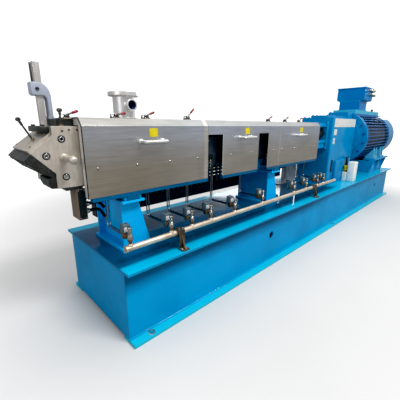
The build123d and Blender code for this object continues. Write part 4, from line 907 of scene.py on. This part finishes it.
beads = []
for side in (-1, 1):
    y = side * base["web"]
    beads.append(weldBead(base["left"], y, base["flangeTop"], side, base["bead"], base["length"],
        base["bead"], 0.0012, 2))
    beads.append(weldBead(base["left"], y, base["deckUnder"], side, -base["bead"], base["length"],
        base["bead"], 0.0012, 2))
    for left in base["standLefts"]:
        beads.append(weldBead(left - base["standBeadBefore"], side * base["standHalf"], base["deckTop"], side,
            base["standBead"], base["standBeadLength"], base["standBead"], 0.001, 1))
finishPiece(joinPieces("baseWelds", beads), "base_blue")
print("heaters and base dressed")

# lantern and gearbox

lantern = {"left": -0.055, "flangeX": 0.302, "right": 0.33, "flangeYs": (0.13, 0.152),
           "ribYs": (0.1295, 0.139), "foot": 0.885, "top": 1.216, "ribs": ((0.962, 0.999), (1.153, 1.178)),
           "boltY": 0.1405, "boltZs": (0.91, 1.0, 1.09, 1.19)}
flangeBolt = [(0, 0.011), (0.0015, 0.011), (0.0016, 0.0085), (0.008, 0.0085), (0.009, 0.0074)]
lanternParts = []
for side in (-1, 1):  # bolted flange of the lantern against the gearbox, and the frame round its window
    near, far = sorted(side * y for y in lantern["flangeYs"])
    lanternParts.append(cutBlock("lanternFlange", (lantern["flangeX"], near, lantern["foot"]),
        (lantern["right"], far, lantern["top"]), driveEnamel, 0.004))
    near, far = sorted(side * y for y in lantern["ribYs"])
    for foot, top in lantern["ribs"]:
        lanternParts.append(cutBlock("lanternRib", (lantern["left"], near, foot),
            (lantern["flangeX"] + 0.001, far, top), driveEnamel, 0.003))
spots = [(lantern["flangeX"], side * lantern["boltY"], z) for z in lantern["boltZs"] for side in (-1, 1)]
lanternParts.append(turnCopies("lanternBolts", flangeBolt, spots, (-1, 0, 0), driveEnamel, 6))
finishPiece(joinPieces("lanternFlanges", lanternParts), "drive_blue")

gear = {"half": 0.2, "top": 1.262, "coverTop": 1.288, "humpTop": 1.345, "foot": 0.482,
        "joint": (0.984, 0.99), "lugLeft": 0.5, "lugRight": 0.9, "lugTop": 0.715, "lugRound": 0.026,
        "lugThick": 0.026, "slotXs": (0.405, 0.462), "slotZs": (0.6, 0.754),
        "coverBolts": (0.4, 0.108, 0.09), "edgeBolts": (0.355, 0.12, 0.175), "humpXs": (0.985, 1.1),
        "humpYs": (-0.112, 0, 0.112), "footBoltXs": (0.35, 0.45, 0.95, 1.09), "footBoltY": 0.213,
        "signs": (((0.372, 1.15), (1.09, 1.252)), ((0.38, 1.055), (0.468, 1.125)),
        ((0.38, 0.95), (0.44, 1.02)))}
left, pitch, y = gear["coverBolts"]
spots = [(left + n * pitch, side * y, gear["coverTop"]) for n in range(6) for side in (-1, 1)]
spots += [(x, y, gear["humpTop"]) for x in gear["humpXs"] for y in gear["humpYs"]]
left, pitch, y = gear["edgeBolts"]
spots += [(left + n * pitch, side * y, gear["top"]) for n in range(6) for side in (-1, 1)]
gearParts = [setCopies("gearboxBolts", hexHead("gearboxBolt", 0.0095, 0.011, driveEnamel), spots)]
for side in (-1, 1):
    y, radii = side * gear["half"], (gear["lugRound"], gear["lugRound"])
    # thick fixing lug at the foot, its shoulders rounded
    corners = [(gear["lugLeft"], gear["foot"] + 0.0005),
        *quarter((gear["lugLeft"] + gear["lugRound"], gear["lugTop"]), radii, 180, 90, 6),
        *quarter((gear["lugRight"] - gear["lugRound"], gear["lugTop"]), radii, 90, 0, 6),
        (gear["lugRight"], gear["foot"] + 0.0005)]
    gearParts.append(cutPlate("gearboxLug", [(x, y, z) for x, z in corners], (0, side * gear["lugThick"], 0),
        driveEnamel, 0.005, 3))
    near, far = sorted((y, y + side * 0.0022))
    gearParts.append(cutBlock("gearboxJoint", (0.352, near, gear["joint"][0]),
        (1.098, far, gear["joint"][1]), driveEnamel, 0.0009, 1))
finishPiece(joinPieces("gearboxFittings", gearParts), "drive_blue")

spots = [(x, side * gear["footBoltY"], gear["foot"]) for x in gear["footBoltXs"] for side in (-1, 1)]
finishPiece(setCopies("gearboxFootBolts", hexHead("footBolt", 0.013, 0.017, brightSteel), spots),
    "polished_steel")
# a black sheet in each slot on the gearbox's sides is painted shade: the shadow in the gap between its plates
slots = []
for side in (-1, 1):
    y = side * gear["half"]
    near, far = sorted((y - side * 0.0015, y + side * 0.0008))
    slots.append(cutBlock("gearboxSlotShade", (gear["slotXs"][0], near, gear["slotZs"][0]),
        (gear["slotXs"][1], far, gear["slotZs"][1]), blackSkin, 0.0006, 1))
finishPiece(joinPieces("gearboxSlotShades", slots), "black_plastic")

signs = [
    cutBlock("blankSign", (left, -gear["half"] - 0.0016, foot), (right, -gear["half"] + 0.0005, top),
        signSkin, 0.0008, 1)
    for (left, foot), (right, top) in gear["signs"]]
finishPiece(joinPieces("blankGearboxSigns", signs), "white_plastic")
print("gearbox dressed")

# motor

motor = {"axis": 1.0, "ringX": 1.15, "boltCircle": 0.318, "bolts": 16, "shieldX": 1.218, "radius": 0.345,
         "screwX": 2.372, "screws": 8, "cowlEnd": 2.7, "grilleRings": 7, "grilleFirst": (0.057, 0.063),
         "grillePitch": 0.033, "grilleReach": 0.265, "grilleWire": 0.003, "footXs": (1.85, 2.2),
         "footSpread": 0.022, "footY": 0.294, "footTop": 0.7}


def aroundAxis(radius, angle):
    # a step away from the shaft, square to it, at an angle in degrees from the back side upwards
    return Vector((0, math.cos(math.radians(angle)), math.sin(math.radians(angle)))) * radius


ringMiddle = Vector((motor["ringX"], 0, motor["axis"]))
spots = [ringMiddle + aroundAxis(motor["boltCircle"], (n + 0.5) * 360 / motor["bolts"])
    for n in range(motor["bolts"])]
motorParts = [
    setCopies("flangeBolts", hexHead("flangeBolt", 0.014, 0.014, motorEnamel), spots, (-1, 0, 0)),
    spinRing("endShieldRim", [(0, 0.33), (0, 0.349), (0.01, 0.352), (0.024, 0.352), (0.034, 0.349),
        (0.034, 0.33)], (motor["shieldX"], 0, motor["axis"]), (1, 0, 0), motorEnamel, 72)]
for n in range(motor["screws"]):
    way = aroundAxis(1, n * 360 / motor["screws"] + 20)
    motorParts.append(turnPiece("cowlScrew", [(0, 0.009), (0.003, 0.0086), (0.005, 0.006)],
        Vector((motor["screwX"], 0, motor["axis"])) + way * motor["radius"], way, motorEnamel, 14))
finishPiece(joinPieces("motorFittings", motorParts), "motor_blue")

grille = []
for n in range(motor["grilleRings"]):
    near, far = (edge + n * motor["grillePitch"] for edge in motor["grilleFirst"])
    grille.append(spinRing("grilleRing", [(-0.002, near), (0.003, near), (0.003, far), (-0.002, far)],
        (motor["cowlEnd"], 0, motor["axis"]), (1, 0, 0), blackSteel, 48))
hub = Vector((motor["cowlEnd"] + motor["grilleWire"], 0, motor["axis"]))
for n in range(4):
    spoke = aroundAxis(motor["grilleReach"], n * 45)
    points = [hub - spoke, hub, hub + spoke]
    grille.append(bendBar("grilleSpoke", points, motor["grilleWire"], blackSteel, 2))
finishPiece(joinPieces("cowlGrille", grille), "dark_steel")

spots = [(x + way * motor["footSpread"], side * motor["footY"], motor["footTop"])
    for x in motor["footXs"] for way in (-1, 1) for side in (-1, 1)]
finishPiece(setCopies("motorFootBolts", hexHead("motorFootBolt", 0.017, 0.02, brightSteel), spots),
    "polished_steel")

terminal = {"left": 1.343, "half": 0.184, "top": 1.694, "screwXs": (1.36, 1.4667, 1.5783, 1.685),
            "screwY": 0.168,
            "glands": ((1.5, 1.652), (1.62, 1.652), (1.56, 1.6), (1.665, 1.598)), "gland": 0.019}
spots = [(x, side * terminal["screwY"], terminal["top"]) for x in terminal["screwXs"] for side in (-1, 1)]
boxParts = [
    setCopies("lidScrews", domeHead("lidScrew", 0.008, 0.005, motorEnamel), spots),
    cutBlock("neckFlange", (terminal["left"], -0.146, 1.3825), (1.65, 0.146, 1.397), driveEnamel, 0.003),
    cutBlock("neckTopFlange", (terminal["left"], -0.145, 1.502), (1.648, 0.145, 1.5148), driveEnamel, 0.003)]
finishPiece(joinPieces("terminalBoxFittings", boxParts), "drive_blue")

wide = terminal["gland"]
glandProfile = [(0, wide * 1.25), (0.005, wide * 1.25), (0.0055, wide), (0.018, wide), (0.019, wide * 0.9),
    (0.024, wide * 0.9), (0.025, wide * 1.08), (0.042, wide * 1.05), (0.052, wide * 0.7),
    (0.052, wide * 0.5), (0.04, wide * 0.48)]
spots = [(x, -terminal["half"], z) for x, z in terminal["glands"]]
finishPiece(turnCopies("cableGlands", glandProfile, spots, (0, -1, 0), nickelMetal, 12), "polished_steel")
print("motor dressed")

# lubrication boxes beside the gearbox

oil = {"x": 0.799, "y": -0.257, "foot": 0.574, "capFoot": 0.59, "spoutFoot": 0.657, "ribs": 14,
       "ribCircle": 0.0282, "ribHalf": 0.0016, "ribFoot": 0.608, "ribTop": 0.638}
cans = [
    cutBlock("whiteSmall", (0.764, -0.286, 0.45), (0.834, -0.228, oil["foot"]), whiteSkin, 0.006, 3),
    cutBlock("whiteLarge", (0.764, -0.376, 0.45), (0.876, -0.288, 0.712), whiteSkin, 0.008, 3),
    cutBlock("whiteLid", (0.7625, -0.3775, 0.688), (0.8775, -0.2865, 0.694), whiteSkin)]
finishPiece(joinPieces("lubricationCans", cans), "white_plastic", "lubrication_boxes")

x, y = oil["x"], oil["y"]
valve = [
    turnPiece("valveNeck", [(0, 0.026), (0.004, 0.026), (0.005, 0.02), (0.012, 0.02), (0.016, 0.0235)],
        (x, y, oil["foot"]), up, blackSkin, 24),
    turnPiece("valveBarrel", [(0, 0.025), (0.003, 0.0278), (0.062, 0.0278), (0.066, 0.025), (0.068, 0.018)],
        (x, y, oil["capFoot"]), up, yellowSkin, 28),
    turnPiece("valveSpout", [(0, 0.018), (0.01, 0.018), (0.012, 0.0135), (0.03, 0.0135), (0.032, 0.0155),
        (0.042, 0.0155)], (x, y, oil["spoutFoot"]), up, blackSkin, 20)]
for n in range(oil["ribs"]):
    angle, half = math.radians(n * 360 / oil["ribs"]), oil["ribHalf"]
    ribX, ribY = x + oil["ribCircle"] * math.cos(angle), y + oil["ribCircle"] * math.sin(angle)
    valve.append(cutBlock("capRib", (ribX - half, ribY - half, oil["ribFoot"]),
        (ribX + half, ribY + half, oil["ribTop"]), blackSkin, 0.0006, 1))
finishPiece(joinPieces("lubricationValve", valve), "black_plastic", "lubrication_valve")
# the elbow rises from the spout and bends back into the gearbox's side
elbow = [(x, y, 0.694), (x, y, 0.729), (x + 0.012, y + 0.004, 0.752), (x + 0.05, y + 0.012, 0.76),
    (x + 0.1, y + 0.022, 0.756), (x + 0.13, y + 0.04, 0.744), (x + 0.135, 0.001 - gear["half"], 0.739)]
finishPiece(bendBar("valveElbow", elbow, 0.011, blackSkin, 5), "black_plastic")
print("lubrication unit dressed")

# rear duct: lid and its clips

duct = {"lidLow": (-2.4405, 0.1805, 0.6485), "lidHigh": (-0.1295, 0.2535, 0.6525), "firstClip": -2.32,
        "clipPitch": 0.24, "clips": 10}
clip = cutBlock("ductClip", (-0.012, 0.2515, 0.62), (0.012, 0.2545, 0.654), brightSteel, 0.0008, 1)
lidParts = [
    cutBlock("ductLid", duct["lidLow"], duct["lidHigh"], ductSkin, 0.001, 1),
    setCopies("ductClips", clip,
        [(duct["firstClip"] + n * duct["clipPitch"], 0, 0) for n in range(duct["clips"])])]
finishPiece(joinPieces("ductLidAndClips", lidParts), "duct_grey")
print("rear duct dressed")

# conduit risers from the rear duct up to the heaters, left out where a stand is in their way

riser = {"y": 0.155, "foot": 0.669, "shares": (0.12, 0.31, 0.5, 0.69, 0.88), "before": 0.02, "past": 0.2}
riserProfile = [(0, 0.015), (0.012, 0.015), (0.013, 0.0115), (0.198, 0.0115), (0.199, 0.0145),
    (0.212, 0.0145)]
riserXs = [heater["first"] + (n + share) * heater["pitch"]
    for n in range(1, heater["count"]) for share in riser["shares"]]
spots = [(x, riser["y"], riser["foot"]) for x in riserXs
    if not any(left - riser["before"] < x < left + riser["past"] for left in base["standLefts"])]
finishPiece(turnCopies("conduitRisers", riserProfile, spots, up, conduitSteel, 14), "duct_grey")

loom = {"left": -2.23, "right": -0.14, "y": 0.18, "zs": (0.742, 0.774, 0.803), "radius": 0.0135,
        "firstTie": -2.12, "tiePitch": 0.235, "ties": 9,
        "sag": ((0, 0), (0.002, -0.006), (0, 0.002), (0.002, -0.005), (0, 0))}
runs = []
for n, z in enumerate(loom["zs"]):  # the heaters' leads run along behind the risers as a tied loom
    left, right = loom["left"] + 0.03 * n, loom["right"] - 0.02 * n
    points = [(left + (right - left) * step / 4, loom["y"] + out, z + rise)
        for step, (out, rise) in enumerate(loom["sag"])]
    runs.append(bendBar("loomRun", points, loom["radius"], blackSkin, 4))
tie = cutBlock("loomTie", (-0.004, loom["y"] - 0.0165, 0.722), (0.004, loom["y"] + 0.0185, 0.82),
    conduitSteel, 0.002, 1)
ties = [(loom["firstTie"] + n * loom["tiePitch"], 0, 0) for n in range(loom["ties"])]
runs.append(setCopies("loomTies", tie, ties))
finishPiece(joinPieces("heaterLoom", runs), "black_plastic")

bank = {"first": -0.045, "pitch": 0.037, "count": 10, "y": 0.2, "foot": 0.4502, "bend": 0.93, "wall": 0.1285,
        "radius": 0.0105}
pipes = []
for n in range(bank["count"]):  # flexible conduits that stand behind the lantern, from the deck into its wall
    x, y, bend = bank["first"] + bank["pitch"] * n, bank["y"], bank["bend"]
    pipes.append(bendBar("bankPipe", [(x, y, bank["foot"]), (x, y, 0.8), (x, y - 0.004, bend),
        (x, y - 0.03, bend + 0.026), (x, bank["wall"], bend + 0.03)], bank["radius"], conduitZinc, 4))
feet = [(bank["first"] + bank["pitch"] * n, bank["y"], bank["foot"]) for n in range(bank["count"])]
pipes.append(turnCopies("bankFeet", [(0, 0.0165), (0.004, 0.0165), (0.005, 0.0135), (0.016, 0.0135),
    (0.018, 0.0115)], feet, up, nickelMetal, 12))
finishPiece(joinPieces("rearConduitBank", pipes), "duct_grey")
print("risers and loom dressed")

# folded lips of the cover cut-outs, the strip over the right joint, and the blocks between stands and rails

lip = {"edges": (-1.643, -1.060), "foot": 0.8125, "top": 1.1045, "near": -0.2196, "far": -0.2172}
lips = [
    cutBlock("openingLip", (edge - 0.011, lip["near"], lip["foot"]), (edge + 0.0005, lip["far"], lip["top"]),
        bandSteel, 0.0006, 1)
    for edge in lip["edges"]]
lips.append(cutBlock("jointStrip", (-0.8895, -0.2212, lip["foot"]), (-0.8805, lip["near"], 1.161),
    bandSteel, 0.0004, 1))
finishPiece(joinPieces("coverLips", lips), "stainless")
blocks = [
    cutBlock("railBlock", (left + 0.001, -0.212, 0.7645), (left + 0.107, 0.212, 0.8115), baseEnamel, 0.002, 1)
    for left in base["standLefts"]]
finishPiece(joinPieces("railBlocks", blocks), "base_blue")
print("lips and rail blocks dressed")

# camera, light and floor

view = {"place": (-3.1299, -1.5261, 1.1708), "heading": 46.18, "down": 15.51, "roll": 0.36, "lens": 24.46}
bpy.ops.object.camera_add(location=view["place"])
camera = bpy.context.object
yaw, pitch, roll = (math.radians(view[key]) for key in ("heading", "down", "roll"))
ahead = Vector((math.cos(yaw) * math.cos(pitch), math.sin(yaw) * math.cos(pitch), -math.sin(pitch)))
right = Vector((math.sin(yaw), -math.cos(yaw), 0))
above = right.cross(ahead)
tiltedRight = right * math.cos(roll) + above * math.sin(roll)
tiltedUp = above * math.cos(roll) - right * math.sin(roll)
turn = Matrix((tiltedRight, tiltedUp, -ahead)).transposed().to_4x4()
camera.matrix_world = Matrix.Translation(view["place"]) @ turn
camera.data.lens = view["lens"]
camera.data.sensor_width = 36
camera.data.sensor_fit = "HORIZONTAL"
camera.data.clip_start = 0.05
bpy.context.scene.camera = camera

lights = {  # name: place, aimed at, width, height, watts, colour
    "overheadPanel": ((1.2, 0.1, 5.2), (0.4, -0.1, 0.8), 6.0, 12.0, 205, "#fffcf6"),
    "frontPanel": ((-1.0, -4.6, 6.2), (-0.3, 0, 0.5), 3.4, 1.6, 350, "#ffffff"),
    "leftPanel": ((-7.5, -1.5, 3.0), (-2.0, 0, 0.8), 2.5, 2.0, 55, "#f2f6ff"),
    "windowPanel": ((9.0, 4.5, 3.1), (-1.0, -0.3, 0.5), 9.0, 0.7, 110, "#f6faff"),
}
for name, (place, target, width, height, power, colour) in lights.items():
    bpy.ops.object.light_add(type="AREA", location=place)
    lamp = bpy.context.object
    lamp.name = name
    lamp.rotation_euler = (Vector(target) - Vector(place)).to_track_quat("-Z", "Y").to_euler()
    lamp.data.shape = "RECTANGLE"
    lamp.data.size, lamp.data.size_y = width, height
    lamp.data.energy = power
    lamp.data.color = toLinear(colour)[:3]

world = bpy.data.worlds.new("studio")
bpy.context.scene.world = world
world.use_nodes = True
tree = world.node_tree
sky = tree.nodes["Background"]
sky.inputs["Color"].default_value = toLinear("#fbfcff")
sky.inputs["Strength"].default_value = 0.42
# what the camera itself sees is white
backdrop = addNode(world, "ShaderNodeBackground", {"Color": toLinear("#fdfdfe")})
ray = addNode(world, "ShaderNodeLightPath")
either = addNode(world, "ShaderNodeMixShader", {}, {0: ray.outputs["Is Camera Ray"], 1: sky.outputs[0],
    2: backdrop.outputs[0]})
tree.links.new(either.outputs[0], tree.nodes["World Output"].inputs[0])

screen = bpy.context.scene.view_settings
screen.view_transform = "Standard"
screen.look = "Medium High Contrast"
screen.use_curve_mapping = True
screen.curve_mapping.black_level = (0.012, 0.008, 0.006)
screen.curve_mapping.update()

floorPaint, floorPlace = startMaterial("paleFloor", {"Roughness": 0.8, "Specular IOR Level": 0.2,
    "Emission Color": toLinear("#ffffff")})
speckle = addNode(floorPaint, "ShaderNodeTexNoise", {"Scale": perMetre(700), "Detail": 3.0},
    {"Vector": floorPlace})
tone = addNode(floorPaint, "ShaderNodeMix", {"data_type": "RGBA", 6: toLinear("#c6c6c5"),
    7: toLinear("#cccccb")}, {0: speckle.outputs["Fac"]})
seen = addNode(floorPaint, "ShaderNodeLightPath")
# painted reflection: in reflections the floor is painted a darker grey, for a workshop floor darker than the
# pale paper that shows
grounded = addNode(floorPaint, "ShaderNodeMix", {"data_type": "RGBA", 7: toLinear("#7c7a77")},
    {0: seen.outputs["Is Glossy Ray"], 6: tone.outputs[2]})
feedShader(floorPaint, {"Base Color": grounded.outputs[2]})
# painted light: further out the floor glows, fully for the camera and a little in reflections, so that the
# horizon stays white
reach = addNode(floorPaint, "ShaderNodeVectorMath", {"operation": "LENGTH"}, {0: floorPlace})
glow = addNode(floorPaint, "ShaderNodeMapRange", {"interpolation_type": "SMOOTHSTEP", "From Min": 2.0,
    "From Max": 7.0, "To Max": 0.95}, {"Value": reach.outputs["Value"]})
share = addNode(floorPaint, "ShaderNodeMath", {"operation": "MULTIPLY_ADD", 1: 0.2},
    {0: seen.outputs["Is Glossy Ray"], 2: seen.outputs["Is Camera Ray"]})
shown = addNode(floorPaint, "ShaderNodeMath", {"operation": "MULTIPLY"},
    {0: glow.outputs["Result"], 1: share.outputs[0]})
feedShader(floorPaint, {"Emission Strength": shown.outputs[0]})
bpy.ops.mesh.primitive_plane_add(size=80, location=(0, 0, -0.001))
floor = bpy.context.object
floor.name = "floor"
floor.data.materials.append(floorPaint)
print("camera, lights and floor set")
